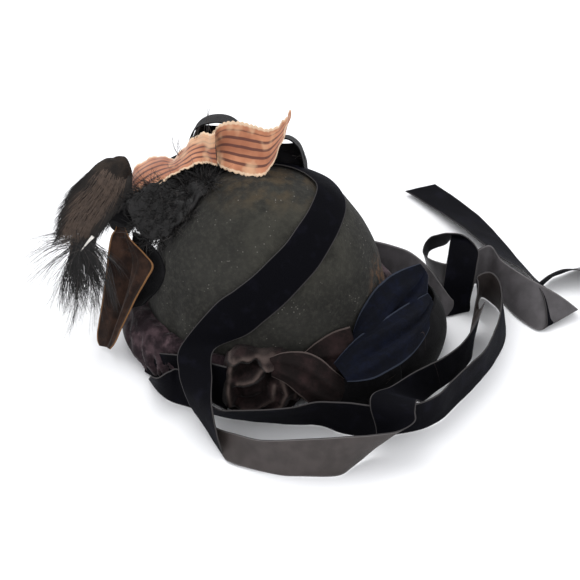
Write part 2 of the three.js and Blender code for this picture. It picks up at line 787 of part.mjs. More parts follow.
// The spray's strands: their bends and tips. All start from the binding under the fur loop.
const SPRAY_ROOT = [-1.47, -0.1, 0.64];
const SPRAY = table(
  ["bx", "by", "bz", "x", "y", "z"],
  [-1.7, -0.2, 0.66, -1.92, -0.37, 0.6],
  [-1.66, -0.3, 0.6, -1.86, -0.5, 0.5],
  [-1.68, -0.1, 0.68, -1.86, -0.12, 0.62],
  [-1.62, -0.3, 0.52, -1.74, -0.48, 0.41],
  [-1.56, -0.26, 0.48, -1.6, -0.36, 0.24],
  [-1.5, -0.3, 0.44, -1.52, -0.42, 0.2],
  [-1.42, -0.3, 0.5, -1.42, -0.44, 0.26],
  [-1.34, -0.26, 0.54, -1.3, -0.46, 0.32],
  [-1.26, -0.24, 0.58, -1.2, -0.46, 0.42],
);

// The ostrich tuft on the crown's left shoulder: locks that fall forwards from under the silk ribbon.
const TUFT_ROOT = [-0.62, 0.24, 0.9];
const TUFT = table(
  ["bx", "by", "bz", "x", "y", "z"],
  [-0.95, 0.14, 0.95, -1.12, 0.06, 0.8],
  [-0.92, 0.06, 0.9, -1.06, -0.08, 0.7],
  [-0.85, 0.0, 0.88, -0.97, -0.16, 0.63],
  [-0.78, -0.06, 0.88, -0.84, -0.22, 0.66],
  [-0.7, -0.08, 0.92, -0.7, -0.24, 0.72],
  [-0.6, -0.06, 0.95, -0.56, -0.22, 0.8],
  [-0.52, 0.0, 1.0, -0.4, -0.04, 0.99],
);

const strands = (root, rows, thick) =>
  joined(...rows.map((r) => lock(root, [r.bx, r.by, r.bz], [r.x, r.y, r.z], thick)));

// A round binding or cushion at a place given in shares of the crown's sizes.
function ball([x, y, z], radius) {
  const geometry = new THREE.IcosahedronGeometry(radius, 2);
  geometry.translate(x * HALF_LENGTH, y * HALF_WIDTH, z * CROWN_HEIGHT);
  const points = geometry.getAttribute("position").array;
  return solidOf(
    Array.from(points),
    Array.from({ length: points.length / 3 }, (_, i) => i),
  );
}

// Silk ribbon

const SILK_LEFT = table(
  ["x", "y", "z", "turn", "tilt", "wide"],
  [-1.12, 0.24, 0.75, 87, 8, 0.14],
  [-1.09, 0.3, 0.8, 96, 20, 0.45],
  [-1.03, 0.35, 0.85, 101, 14, 0.68],
  [-0.93, 0.36, 0.9, 101, 8, 0.8],
  [-0.82, 0.35, 0.94, 101, 4, 0.72],
  [-0.72, 0.3, 0.97, 101, 4, 0.42],
  [-0.64, 0.28, 1.02, 101, 10, 0.5],
  [-0.55, 0.27, 1.07, 102, 22, 0.54],
  [-0.47, 0.24, 1.1, 101, 42, 0.54],
  [-0.42, 0.18, 1.11, 97, 54, 0.48],
);
const SILK_RIGHT = table(
  ["x", "y", "z", "turn", "tilt", "wide"],
  [-0.4, 0.3, 1.08, 104, 48, 0.52],
  [-0.33, 0.27, 1.1, 92, 56, 0.78],
  [-0.2, 0.23, 1.1, 96, 52, 0.91],
  [-0.09, 0.18, 1.1, 94, 52, 0.88],
  [0.02, 0.13, 1.12, 86, 53, 0.72],
  [0.12, 0.08, 1.23, 76, 53, 0.46],
  [0.18, 0.05, 1.34, 69, 56, 0.24],
);

// Black velvet loops behind the silk.
const FAR_LOOP = table(
  ["x", "y", "z", "turn", "tilt", "wide"],
  [-0.58, 0.52, 0.68, 90, -20, 0.9],
  [-0.63, 0.58, 0.9, 90, -20, 0.95],
  [-0.57, 0.62, 1.09, 88, -20, 1],
  [-0.4, 0.62, 1.15, 88, -20, 1],
  [-0.24, 0.62, 1.11, 88, -22, 1],
  [-0.17, 0.6, 0.97, 88, -24, 1],
  [-0.2, 0.58, 0.85, 88, -26, 0.9],
);
const RIGHT_LOOP = table(
  ["x", "y", "z", "turn", "tilt", "wide"],
  [0.02, 0.4, 0.95, 91, -22, 0.75],
  [0.06, 0.42, 1.05, 90, -24, 0.9],
  [0.15, 0.43, 1.1, 89, -26, 0.95],
  [0.25, 0.42, 1.06, 88, -24, 0.9],
  [0.3, 0.42, 0.96, 84, -26, 0.85],
  [0.31, 0.42, 0.9, 82, -28, 0.8],
);

// The padded roll of black velvet that carries the trimming: it lies on the crown's left shoulder and top.
const PAD = table(
  ["x", "y", "z", "size"],
  [-1.17, 0.02, 0.68, 0.62],
  [-1.1, 0.2, 0.72, 0.8],
  [-0.95, 0.34, 0.76, 1],
  [-0.75, 0.42, 0.85, 1],
  [-0.5, 0.44, 0.94, 0.9],
  [-0.2, 0.44, 0.99, 0.7],
  [0.1, 0.44, 0.98, 0.65],
  [0.28, 0.43, 0.94, 0.4],
);
const PAD_SIDES = 8;
const PAD_BETWEEN = 2;

function padBody(grow = 0) {
  const curve = new THREE.CatmullRomCurve3(
    PAD.map((r) => new THREE.Vector3(r.x * HALF_LENGTH, r.y * HALF_WIDTH, r.z * CROWN_HEIGHT)),
  );
  const steps = (PAD.length - 1) * PAD_BETWEEN;
  const rings = Array.from({ length: steps + 1 }, (_, i) => {
    const row = Math.min(Math.floor(i / PAD_BETWEEN), PAD.length - 2);
    const share = i / PAD_BETWEEN - row;
    const radius = PAD_RADIUS * (PAD[row].size + (PAD[row + 1].size - PAD[row].size) * share) + grow;
    const along = curve.getTangent(i / steps);
    const side = new THREE.Vector3(0, 0, 1).cross(along).normalize();
    const front = along.clone().cross(side);
    return Array.from({ length: PAD_SIDES }, (_, j) => {
      const a = (2 * Math.PI * j) / PAD_SIDES;
      return curve
        .getPoint(i / steps)
        .addScaledVector(side, radius * Math.cos(a))
        .addScaledVector(front, radius * Math.sin(a));
    });
  });
  return loft(rings);
}

const pieces = new THREE.Group();

function add(name, solid, colour, roughness = 0.9) {
  const mesh = solid.getMesh();
  const geometry = new THREE.BufferGeometry();
  geometry.setAttribute("position", new THREE.Float32BufferAttribute(mesh.vertProperties, 3));
  geometry.setIndex(new THREE.BufferAttribute(mesh.triVerts, 1));
  const material = new THREE.MeshStandardMaterial({ color: colour, roughness, metalness: 0 });
  const piece = new THREE.Mesh(geometry, material);
  piece.name = name;
  pieces.add(piece);
}

// Fitting: each piece is cut back from what was placed before it, so that neighbours lie a seat apart.

const strip = (rows, width) => smooth(trimSections(rows, width), 2);
const VELVET_BLACK = 0x0d0d12;
const VELVET_BROWN = 0x3b2a2c;
const NAVY = 0x11142e;
const SILK_PINK = 0xc47a62;

// A ribbon of the trimming: its cut solid, and the room that the next pieces leave it.
function trimmed(sections, cup, ...rooms) {
  return {
    solid: fitted(ribbonBody(sections, { cup }), crownRoom, bandRoom, ...rooms),
    room: roomy(sections, { cup }),
  };
}

const tieFront = trimmed(tieFrontSections, 0);
const tieUnder = trimmed(tieUnderSections, 0, tieFront.room);
const tieBack = trimmed(tieBackSections, 0, tieFront.room);
const tieEnd = trimmed(tieEndSections, 0, tieBack.room);
const knotTail = trimmed(strip(KNOT_TAIL, BOW_WIDTH), 0.1, tieFront.room);
const turnUp = trimmed(strip(TURN_UP, BOW_WIDTH), 0.06, knotTail.room);
const navyTail = trimmed(strip(NAVY_TAIL, BOW_WIDTH), 0.1, turnUp.room);
const navyLeaf = trimmed(strip(NAVY_LEAF, BOW_WIDTH), 0.1, navyTail.room, turnUp.room);
const blackRight = trimmed(strip(BLACK_RIGHT, BOW_WIDTH), 0.12, navyTail.room, navyLeaf.room);
const blackFront = trimmed(
  strip(BLACK_FRONT, BOW_WIDTH),
  0.12,
  blackRight.room,
  navyTail.room,
  knotTail.room,
  turnUp.room,
);
const brownLoop = trimmed(strip(BROWN_LOOP, BOW_WIDTH), 0.08);
const blackFold = trimmed(strip(BLACK_FOLD, BOW_WIDTH), 0.08, brownLoop.room);
const silkLeft = trimmed(strip(SILK_LEFT, SILK_WIDTH), -0.06);
const silkRight = trimmed(strip(SILK_RIGHT, SILK_WIDTH), 0.06, silkLeft.room);
const farLoop = trimmed(strip(FAR_LOOP, TIE_WIDTH), 0, silkLeft.room, silkRight.room, tieFront.room);
const rightLoop = trimmed(strip(RIGHT_LOOP, TIE_WIDTH), 0, silkRight.room, tieFront.room);
const furRoom = sleeve(FUR_LOOP, 0, SEAT);
const knot = fitted(knotBody(), crownRoom, bandRoom, tieFront.room, tieUnder.room, knotTail.room, turnUp.room);
const furLoop = fitted(sleeve(FUR_LOOP, FUR), crownRoom, silkLeft.room, brownLoop.room);
const spray = joined(strands(SPRAY_ROOT, SPRAY, LOCK_RADIUS), ball(SPRAY_ROOT, 2.4 * LOCK_RADIUS));
const pad = fitted(
  padBody(),
  crownRoom,
  tieFront.room,
  silkLeft.room,
  silkRight.room,
  farLoop.room,
  rightLoop.room,
  furRoom,
  brownLoop.room,
  blackFold.room,
);
const tuft = fitted(
  joined(strands(TUFT_ROOT, TUFT, TUFT_DEPTH), ball(TUFT_ROOT, 1.4 * TUFT_DEPTH)),
  crownRoom,
  padBody(SEAT),
  silkLeft.room,
  silkRight.room,
  farLoop.room,
  furRoom,
  brownLoop.room,
  blackFold.room,
);

add("crown", crown, 0x3a3a36);
add("base_band", band, VELVET_BROWN);
add("tie_front", tieFront.solid, VELVET_BLACK);
add("tie_under", tieUnder.solid, VELVET_BLACK);
add("tie_back", tieBack.solid, VELVET_BLACK);
add("tie_end", tieEnd.solid, VELVET_BLACK);
add("velvet_knot", knot, VELVET_BROWN);
add("knot_tail", knotTail.solid, VELVET_BROWN);
add("band_turn_up", turnUp.solid, VELVET_BROWN);
add("navy_leaf", navyLeaf.solid, NAVY, 0.6);
add("navy_tail", navyTail.solid, NAVY, 0.6);
add("black_loop_right", blackRight.solid, VELVET_BLACK);
add("black_loop_front", blackFront.solid, VELVET_BLACK);
add("brown_loop", brownLoop.solid, 0x3c2620, 0.6);
add("black_fold", blackFold.solid, VELVET_BLACK);
add("fur_loop", furLoop, 0x4d3f36);
add("feather_spray", fitted(spray, furRoom), 0x17120f);
add("trim_pad", pad, VELVET_BLACK);
add("ostrich_tuft", tuft, 0x141216);
add("silk_left", silkLeft.solid, SILK_PINK, 0.6);
add("silk_right", silkRight.solid, SILK_PINK, 0.6);
add("far_loop", farLoop.solid, VELVET_BLACK);
add("right_loop", rightLoop.solid, VELVET_BLACK);

export default pieces;
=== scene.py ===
import math
import random

import bmesh
import bpy
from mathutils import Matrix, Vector, noise
from mathutils.geometry import intersect_point_line


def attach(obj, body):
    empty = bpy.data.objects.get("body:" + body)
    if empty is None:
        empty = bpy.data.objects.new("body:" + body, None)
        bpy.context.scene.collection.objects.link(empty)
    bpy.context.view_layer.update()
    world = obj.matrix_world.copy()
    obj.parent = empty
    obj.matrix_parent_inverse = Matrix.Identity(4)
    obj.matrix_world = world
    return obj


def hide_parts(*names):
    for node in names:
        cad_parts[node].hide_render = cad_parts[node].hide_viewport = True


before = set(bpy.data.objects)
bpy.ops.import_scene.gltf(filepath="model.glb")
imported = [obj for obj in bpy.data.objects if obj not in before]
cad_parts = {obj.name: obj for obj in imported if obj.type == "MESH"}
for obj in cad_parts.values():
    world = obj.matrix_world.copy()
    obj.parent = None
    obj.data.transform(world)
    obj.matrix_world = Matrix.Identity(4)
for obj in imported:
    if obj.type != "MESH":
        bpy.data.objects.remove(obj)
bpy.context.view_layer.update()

# Floor, light and camera.
# The hat lies on a white table under soft window light that comes from above and a little from the left.
# The camera looks down on it from the front, 38 degrees above the table.
PHOTO_PITCH = math.radians(38)
CAMERA_AWAY = 1.1
CAMERA_AIM = Vector((0.0185, 0.02, 0.025))

bpy.ops.mesh.primitive_plane_add(size=12, location=(0, 0, -0.0005))
table = bpy.context.object
table.name = "table_top"
table_white = bpy.data.materials.new("table_white")
table_white.use_nodes = True
table_inputs = table_white.node_tree.nodes["Principled BSDF"].inputs
table_inputs["Base Color"].default_value = (0.9, 0.9, 0.91, 1)
table_inputs["Roughness"].default_value = 0.9
table_inputs["Specular IOR Level"].default_value = 0.1
table.data.materials.append(table_white)

room = bpy.data.worlds.new("room")
room.use_nodes = True
room.node_tree.nodes["Background"].inputs["Color"].default_value = (0.97, 0.98, 1.0, 1)
room.node_tree.nodes["Background"].inputs["Strength"].default_value = 1.2
bpy.context.scene.world = room


def window(name, place, aim, size, power):
    lamp = bpy.data.lights.new(name, "AREA")
    lamp.shape = "RECTANGLE"
    lamp.size, lamp.size_y = size
    lamp.energy = power
    holder = bpy.data.objects.new(name, lamp)
    holder.location = place
    holder.rotation_euler = (Vector(aim) - Vector(place)).to_track_quat("-Z", "Y").to_euler()
    bpy.context.collection.objects.link(holder)


window("window_above", (-0.5, 0.5, 1.9), (0.05, 0, 0.05), (1.6, 1.2), 17)
window("window_front", (0.6, -1.7, 1.1), (0.0, 0, 0.08), (1.4, 0.9), 5)

lens = bpy.data.cameras.new("camera")
lens.lens = 81.3
lens.sensor_width = 36
camera = bpy.data.objects.new("camera", lens)
camera.location = CAMERA_AIM + CAMERA_AWAY * Vector((0, -math.cos(PHOTO_PITCH), math.sin(PHOTO_PITCH)))
camera.rotation_euler = (math.pi / 2 - PHOTO_PITCH, 0, 0)
bpy.context.collection.objects.link(camera)
bpy.context.scene.camera = camera
bpy.context.scene.view_settings.view_transform = "Standard"

# Crown.
# A blocked wool felt dome, 2 mm thick, with soft dents from handling. The felt is dusty with pale lint,
# browned on top and worn through to tan fuzz at its right end.
HALF_LENGTH = 0.100
HALF_WIDTH = 0.082
CROWN_HEIGHT = 0.150
CROWN_FULLNESS = 2.3
FELT = 0.0022


class Wire:
    """One output of a node in a cloth's shader, so that masks are written as sums."""

    def __init__(self, cloth, socket):
        self.cloth = cloth
        self.socket = socket

    def sum(self, operation, *others):
        values = dict(enumerate((self, *others)))
        return self.cloth.node("ShaderNodeMath", {"operation": operation}, values)

    def __add__(self, other):
        return self.sum("ADD", other)

    def __mul__(self, other):
        return self.sum("MULTIPLY", other)

    def __rsub__(self, other):
        return self.cloth.node("ShaderNodeMath", {"operation": "SUBTRACT"}, {0: other, 1: self})

    def __truediv__(self, other):
        return self.sum("DIVIDE", other)

    __radd__ = __add__
    __rmul__ = __mul__

    def between(self, low, high):
        """0 below low, 1 above high, smooth between."""
        settings = {"interpolation_type": "SMOOTHSTEP"}
        return self.cloth.node("ShaderNodeMapRange", settings, {0: self, 1: low, 2: high})


class Cloth:
    """A material that is put together node by node."""

    def __init__(self, name, **constants):
        self.material = bpy.data.materials.new(name)
        self.material.use_nodes = True
        self.tree = self.material.node_tree
        self.shader = self.tree.nodes["Principled BSDF"]
        for key, value in constants.items():
            self.shader.inputs[key.replace("_", " ")].default_value = value

    def node(self, kind, settings=None, sockets=None, out=0):
        made = self.tree.nodes.new(kind)
        for key, value in (settings or {}).items():
            setattr(made, key, value)
        for key, value in (sockets or {}).items():
            if isinstance(value, Wire):
                self.tree.links.new(value.socket, made.inputs[key])
            else:
                made.inputs[key].default_value = value
        return Wire(self, made.outputs[out])

    def place(self):
        return self.node("ShaderNodeTexCoord", out="Object")

    def strip(self):
        """The two values of the piece's UV map: on a ribbon, metres across and along it."""
        apart = self.node("ShaderNodeSeparateXYZ", None, {0: self.node("ShaderNodeTexCoord", out="UV")})
        return apart, Wire(self, apart.socket.node.outputs[1])

    def speckle(self, scale, detail=3.0, rough=0.55):
        sockets = {"Vector": self.place(), "Scale": scale, "Detail": detail, "Roughness": rough}
        return self.node("ShaderNodeTexNoise", None, sockets)

    def spot(self, centre, radii):
        """1 at a place on the piece, fading to 0 at its radii."""
        sockets = {"Vector": self.place(), "Location": centre, "Scale": radii}
        moved = self.node("ShaderNodeMapping", {"vector_type": "TEXTURE"}, sockets)
        away = self.node("ShaderNodeVectorMath", {"operation": "LENGTH"}, {0: moved}, out="Value")
        return 1 - away.between(0.25, 1.0)

    def tint(self, share, under, over):
        sockets = {0: share, 6: under, 7: over}
        return self.node("ShaderNodeMix", {"data_type": "RGBA"}, sockets, out=2)

    def finish(self, colour=None, roughness=None, height=None, distance=0.0005, strength=1.0):
        for key, value in {"Base Color": colour, "Roughness": roughness}.items():
            if value is not None:
                self.tree.links.new(value.socket, self.shader.inputs[key])
        if height is not None:
            sockets = {"Height": height, "Distance": distance, "Strength": strength}
            bump = self.node("ShaderNodeBump", None, sockets)
            self.tree.links.new(bump.socket, self.shader.inputs["Normal"])
        return self.material


def on_crown(around, up, lift=0.0):
    """The crown's outer surface at an angle round it and an angle up it, in degrees."""
    a, e = math.radians(around), math.radians(up)
    across, high = math.cos(e), math.sin(e)
    reach = (across**CROWN_FULLNESS + high**CROWN_FULLNESS) ** (-1 / CROWN_FULLNESS)
    x = (HALF_LENGTH + lift) * reach * across * math.cos(a)
    y = (HALF_WIDTH + lift) * reach * across * math.sin(a)
    return Vector((x, y, (CROWN_HEIGHT + lift) * reach * high))


def onto_crown(point, lift):
    x, y = point.x / HALF_LENGTH, point.y / HALF_WIDTH
    up = math.degrees(math.atan2(point.z / CROWN_HEIGHT, math.hypot(x, y)))
    return on_crown(math.degrees(math.atan2(y, x)), up, lift)


def lumps(point, size, seed=0.0):
    """Soft noise from -1 to 1 with lumps of a size in metres."""
    return noise.noise(point / size + Vector((seed, seed * 1.7, -seed)))


def finished(name, form, cloths):
    """The piece of a form, with its cloths, riding on the hat's one body."""
    mesh = bpy.data.meshes.new(name)
    form.to_mesh(mesh)
    form.free()
    for cloth in cloths:
        mesh.materials.append(cloth)
    piece = bpy.data.objects.new(name, mesh)
    bpy.context.collection.objects.link(piece)
    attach(piece, "root")
    return piece


def grid_piece(name, across, along, shape, cloths, uv=None, closed=False):
    """A piece from a flat grid whose points shape(u, v) moves into place, u and v from 0 to 1."""
    form = bmesh.new()
    bmesh.ops.create_grid(form, x_segments=across, y_segments=along, size=0.5)
    layer = form.loops.layers.uv.new("cloth")
    for face in form.faces:
        for loop in face.loops:
            u, v = loop.vert.co.x + 0.5, loop.vert.co.y + 0.5
            loop[layer].uv = uv(u, v) if uv else (u, v)
        face.smooth = True
    for vert in form.verts:
        vert.co = shape(vert.co.x + 0.5, vert.co.y + 0.5)
    if closed:
        bmesh.ops.remove_doubles(form, verts=form.verts, dist=1e-5)
    return finished(name, form, cloths)


def thicken(piece, thickness, offset=0.0, back=0):
    """A wall's thickness, with the back in the cloth that comes so many places after the front's."""
    wall = piece.modifiers.new("thickness", "SOLIDIFY")
    wall.thickness = thickness
    wall.offset = offset
    wall.material_offset = back


felt = Cloth("felt", Roughness=0.95, Specular_IOR_Level=0.1, Sheen_Weight=0.04, Sheen_Roughness=0.6)
cloud = felt.speckle(18, 4)
fuzz = felt.speckle(900, 2)
grain = felt.speckle(260, 3, 0.7)
felt_colour = felt.tint(cloud.between(0.3, 0.7), (0.0115, 0.011, 0.0098, 1), (0.024, 0.0232, 0.0205, 1))
felt_colour = felt.tint(grain.between(0.4, 0.8) * 0.5, felt_colour, (0.05, 0.049, 0.04, 1))
# Lighter towards the front of the top, in noisy patches.
lighter_front_top = felt.spot((0.03, -0.045, 0.135), (0.09, 0.05, 0.075)) * felt.speckle(30, 4, 0.6).between(0.3, 0.6)
felt_colour = felt.tint(lighter_front_top * 0.6, felt_colour, (0.052, 0.05, 0.04, 1))
browned = felt.spot((0.0, 0.0, 0.15), (0.07, 0.05, 0.03)) * felt.speckle(60).between(0.4, 0.65)
felt_colour = felt.tint(browned * 0.5, felt_colour, (0.085, 0.058, 0.03, 1))
fuzzy = felt.speckle(120, 4, 0.7).between(0.42, 0.62)
worn = felt.spot((0.093, -0.018, 0.06), (0.022, 0.03, 0.035)) * fuzzy
felt_colour = felt.tint(worn * 0.75, felt_colour, (0.16, 0.075, 0.032, 1))
lint = felt.node("ShaderNodeTexVoronoi", None, {"Vector": felt.place(), "Scale": 330.0})
lint = (1 - lint.between(0.1, 0.2)) * felt.speckle(70, 2).between(0.52, 0.62)
felt_colour = felt.tint(lint * 0.6, felt_colour, (0.2, 0.19, 0.17, 1))
felt_cloth = felt.finish(felt_colour, height=fuzz * 0.5 + grain, distance=0.0009, strength=0.7)


CREASE_AROUND = 221
CREASE_UP = 19
CREASE_DEPTH = 0.002


def crown_shape(u, v):
    around, up = 360 * u, 90 * v
    p = on_crown(around, up)
    sunk = 0.0012 * lumps(p, 0.045) + 0.0006 * lumps(p, 0.02, 3)
    crease = math.exp(-(((around - CREASE_AROUND) / 5) ** 2)) * math.exp(-(((up - CREASE_UP) / 12) ** 2))
    return on_crown(around, up, -abs(sunk) - CREASE_DEPTH * crease)


crown = grid_piece("felt_crown", 200, 72, crown_shape, [felt_cloth], closed=True)
thicken(crown, FELT, offset=-1)
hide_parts("crown")

# Band round the foot.
# A bias strip of brown-purple silk velvet, gathered over a roll of wadding and sewn round the crown's edge.
# Its pile is crushed, so it is mottled.
BAND_HEIGHT = 0.039
BAND_PUFF = 0.019
BOW_WIDTH = 0.048
BAND_TABLE = [
    # angle round the crown, puff and height as shares
    (-180, 1.05, 1.0),
    (-150, 1.1, 1.05),
    (-128, 0.95, 1.0),
    (-112, 0.62, 0.95),
    (-95, 0.3, 0.9),
    (-70, 0.3, 0.9),
    (-50, 0.45, 0.85),
    (-25, 0.6, 0.85),
    (0, 0.8, 0.9),
    (35, 1.0, 0.95),
    (90, 1.05, 1.0),
    (140, 1.1, 1.0),
    (180, 1.05, 1.0),
]
# The band's section from the foot to the crown, outwards and upwards as shares of its puff and height.
BAND_SECTION = [(0, 0), (0.6, 0), (0.86, 0.1), (1, 0.36), (0.93, 0.66), (0.66, 0.9), (0.3, 1), (0, 0.97)]
BAND_SPOTS = [(i / (len(BAND_SECTION) - 1), out, up) for i, (out, up) in enumerate(BAND_SECTION)]


def eased(rows, place, column):
    """A table read between its rows, the first column being the place."""
    for before, after in zip(rows, rows[1:]):
        if place <= after[0]:
            share = (place - before[0]) / (after[0] - before[0])
            ease = (1 - math.cos(math.pi * min(max(share, 0), 1))) / 2
            return before[column] + (after[column] - before[column]) * ease
    return rows[-1][column]


def velvet(name, pile, crushed, sheen, mottle, glow=(1, 1, 1, 1), edge=None, painted_ridge_highlight=None):
    """Silk velvet: dark pile, lighter where it is crushed. An edge colour marks the two sides of a bow's
    strip, and a painted highlight colour lightens the fold ridges that the piece gives as the second value of
    its UV map."""
    cloth = Cloth(
        name,
        Roughness=0.85,
        Specular_IOR_Level=0.12,
        Sheen_Weight=sheen,
        Sheen_Roughness=0.35,
        Sheen_Tint=glow,
    )
    blotch = cloth.speckle(55, 4, 0.65)
    rubbed = cloth.speckle(150, 3, 0.6)
    share = (blotch.between(0.42, 0.68) * 0.65 + rubbed.between(0.5, 0.75) * 0.5) * mottle
    pile_grain = cloth.speckle(1400, 1)
    colour = cloth.tint(share, pile, crushed)
    # Painted highlight on the fold ridges that the piece gives in its UV map.
    if painted_ridge_highlight:
        highlight_mask = cloth.strip()[1]
        colour = cloth.tint(highlight_mask * (rubbed * 0.7 + 0.5), colour, painted_ridge_highlight)
    if edge:
        across = cloth.strip()[0]
        fray = 0.0011 + rubbed * 0.0012
        sides = 1 - (across / fray).between(0.6, 1.2)
        sides = sides + (1 - ((BOW_WIDTH - across) / fray).between(0.6, 1.2))
        colour = cloth.tint(sides * 0.8, colour, edge)
    return cloth.finish(colour, height=pile_grain + blotch * 1.5, distance=0.0006, strength=0.6)


brown_velvet = velvet("brown_velvet", (0.012, 0.007, 0.009, 1), (0.085, 0.055, 0.062, 1), 0.12, 0.9)


def band_shape(u, v):
    angle = -180 + 360 * u
    high = BAND_HEIGHT * eased(BAND_TABLE, angle, 2)
    out, up = eased(BAND_SPOTS, v, 1), eased(BAND_SPOTS, v, 2)
    a = math.radians(angle)
    seam = Vector((HALF_LENGTH * math.cos(a), HALF_WIDTH * math.sin(a), high * up))
    foot = onto_crown(seam, 0.0002)
    outward = Vector((math.cos(a) / HALF_LENGTH, math.sin(a) / HALF_WIDTH, 0)).normalized()
    lean = angle + 9 * math.sin(3 * a) + 14 * (up - 0.5)
    fold = lumps(Vector((lean * 0.0022, up * 0.03, 0)), 0.011, 5)
    fold += 0.5 * lumps(Vector((lean * 0.0022, up * 0.02, 0.1)), 0.005, 8)
    slack = 1 - 0.22 * max(fold, -0.2) if out > 0 else 1
    puff = BAND_PUFF * out * eased(BAND_TABLE, angle, 1) * slack
    p = foot + outward * puff
    p.z = max(high * up * (1 + 0.04 * fold), 0.0002)
    return p


band = grid_piece("gathered_band", 480, 40, band_shape, [brown_velvet], closed=True)
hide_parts("base_band")

# Front tie.
# Double-faced millinery ribbon, 35 mm wide: black silk velvet on one side, grey-black satin on the other,
# with a thin woven selvedge. It crosses the crown, drops to the table and lies on edge in folds and loops.
TIE_WIDTH = 0.035
TIE_THICK = 0.0009
OFF_TABLE = 0.0012
OFF_FELT = 0.0014
TIE_ON_CROWN = [
    # angle round, angle up, lift, turn, width as a share
    (112, 67, 0.02, -90, 0.8),
    (72, 67, 0.02, -90, 0.8),
    (36, 66, 0.03, -92, 0.8),
    (8, 63.5, 0.04, -95, 0.8),
    (-12, 61, 0.04, -92, 0.8),
    (-38, 57.5, 0.02, -66, 0.8),
    (-55, 53, 0.02, -52, 0.84),
    (-68, 47.5, 0.02, -49, 0.88),
    (-80, 42, 0.02, -47, 0.92),
    (-89, 37, 0.02, -46, 0.95),
    (-98, 32, 0.02, -44, 0.98),
    (-107, 26.5, 0.02, -36, 1),
]
TIE_ON_FLOOR = [
    # x and y as shares of the crown's half sizes, foot as a share of the width, turn, tilt, width as a share
    (-0.53, -0.95, 1.19, -15, 6, 0.8),
    (-0.53, -1.31, 1.11, -29, 9, 0.87),
    (-0.51, -1.5, 0.91, -46, 17, 1),
    (-0.48, -1.59, 0.65, -55, 14, 1.09),
    (-0.46, -1.62, 0.42, -55, -8, 1.16),
    (-0.44, -1.63, 0, -54, -23, 1.36),
    (-0.39, -1.68, 0, -58, -18, 1.36),
    (-0.28, -1.8, 0, -55, -21, 1.04),
    (-0.12, -1.92, 0, -45, -36, 0.95),
    (0.06, -2.03, 0, -30, -54, 0.95),
    (0.28, -2.07, 0, -60, -82, 0.97),
    (0.54, -2.06, 0, -100, -82, 1),
    (0.72, -1.97, 0, 170, -70, 1),
    (0.87, -1.88, 0.1, 165, -52, 1),
    (0.96, -1.82, 0.5, 160, -36, 1),
    (0.94, -1.72, 1.02, 160, -10, 1),
    (0.97, -1.53, 0.9, -175, 15, 1),
    (1.08, -1.3, 0.3, -165, 40, 1),
    (1.24, -1.04, 0.02, -156, 55, 1),
    (1.44, -0.85, 0, -138, 65, 1),
    (1.58, -0.66, 0, -125, 70, 1),
    (1.67, -0.45, 0, -100, 86, 1),
    (1.73, -0.12, 0, 10, 74, 1),
    (1.76, 0.14, 0, 60, -80, 1),
    (1.78, 0.36, 0, 60, -75, 1),
    (1.86, 0.44, 0, 100, -75, 1),
    (1.94, 0.28, 0, 60, -80, 1),
    (1.96, 0.04, 0, 40, -76, 1),
    (1.92, -0.27, 0, 45, -70, 1),
    (1.83, -0.55, 0, 55, -68, 1),
    (1.73, -0.78, 0, 60, -68, 1),
    (1.6, -0.99, 0, 56, -72, 1),
    (1.45, -1.22, 0, 55, -75, 1),
    (1.32, -1.42, 0, 60, -75, 1),
    (1.16, -1.54, 0, 65, -76, 1),
    (1.01, -1.58, 0, 70, -82, 1),
    (0.82, -1.61, 0, 80, -85, 1),
    (0.6, -1.57, 0, 80, -85, 1),
    (0.4, -1.5, 0, 80, -73, 1),
    (0.18, -1.52, 0, 90, -64, 1),
    (-0.2, -1.5, 0, 90, -54, 1.05),
    (-0.4, -1.43, 0, 92, -53, 1.06),
    (-0.63, -1.16, 0, -50, -81, 0.95),
    (-0.75, -1.12, 0, 117, -84, 0.95),
    (-0.85, -1.06, 0, 104, -57, 0.98),
    (-0.92, -0.95, 0, 101, -44, 1.05),
]


def direction(turn, tilt):
    """A direction turned so many degrees from +X and tilted so many above the table."""
    turn, tilt = math.radians(turn), math.radians(tilt)
    return Vector((math.cos(tilt) * math.cos(turn), math.cos(tilt) * math.sin(turn), math.sin(tilt)))


def section(middle, turn, tilt, half):
    cross = direction(turn, tilt)
    return (middle - half * cross, middle, middle + half * cross)


def floor_sections(rows, width):
    """Rows of a ribbon that stands or lies on the table, as left edge, middle and right edge."""
    made = []
    for x, y, foot, turn, tilt, wide in rows:
        half = width * wide / 2
        rise = OFF_TABLE + foot * width + half * abs(math.sin(math.radians(tilt)))
        made.append(section(Vector((x * HALF_LENGTH, y * HALF_WIDTH, rise)), turn, tilt, half))
    return made


def crown_sections(rows, width):
    """Rows of a ribbon that is stretched over the felt."""
    made = []
    for around, up, lift, turn, wide in rows:
        lift = OFF_FELT + lift * width
        middle = on_crown(around, up, lift)
        east = (on_crown(around + 2, up, lift) - middle).normalized()
        north = (on_crown(around, up + 2, lift) - middle).normalized()
        turn = math.radians(turn)
        cross = east * math.cos(turn) + north * math.sin(turn)
        half = width * wide / 2
        left, right = onto_crown(middle - half * cross, lift), onto_crown(middle + half * cross, lift)
        made.append((left, middle, right))
    return made


def curve_point(points, share):
    """A smooth curve through points, read at a share of its rows."""
    place = min(max(share, 0), 1) * (len(points) - 1)
    i = min(int(place), len(points) - 2)
    t = place - i
    p1, p2 = points[i], points[i + 1]
    p0 = points[i - 1] if i > 0 else 2 * p1 - p2
    p3 = points[i + 2] if i + 2 < len(points) else 2 * p2 - p1
    bend = (2 * p0 - 5 * p1 + 4 * p2 - p3) * t**2 + (3 * p1 - p0 - 3 * p2 + p3) * t**3
    return 0.5 * (2 * p1 + (p2 - p0) * t + bend)


CREASE_WIDTH = 0.07  # as a share of the ribbon's width


def ribbon_length(sections):
    steps = [curve_point([s[1] for s in sections], i / 400) for i in range(401)]
    return sum((b - a).length for a, b in zip(steps, steps[1:]))


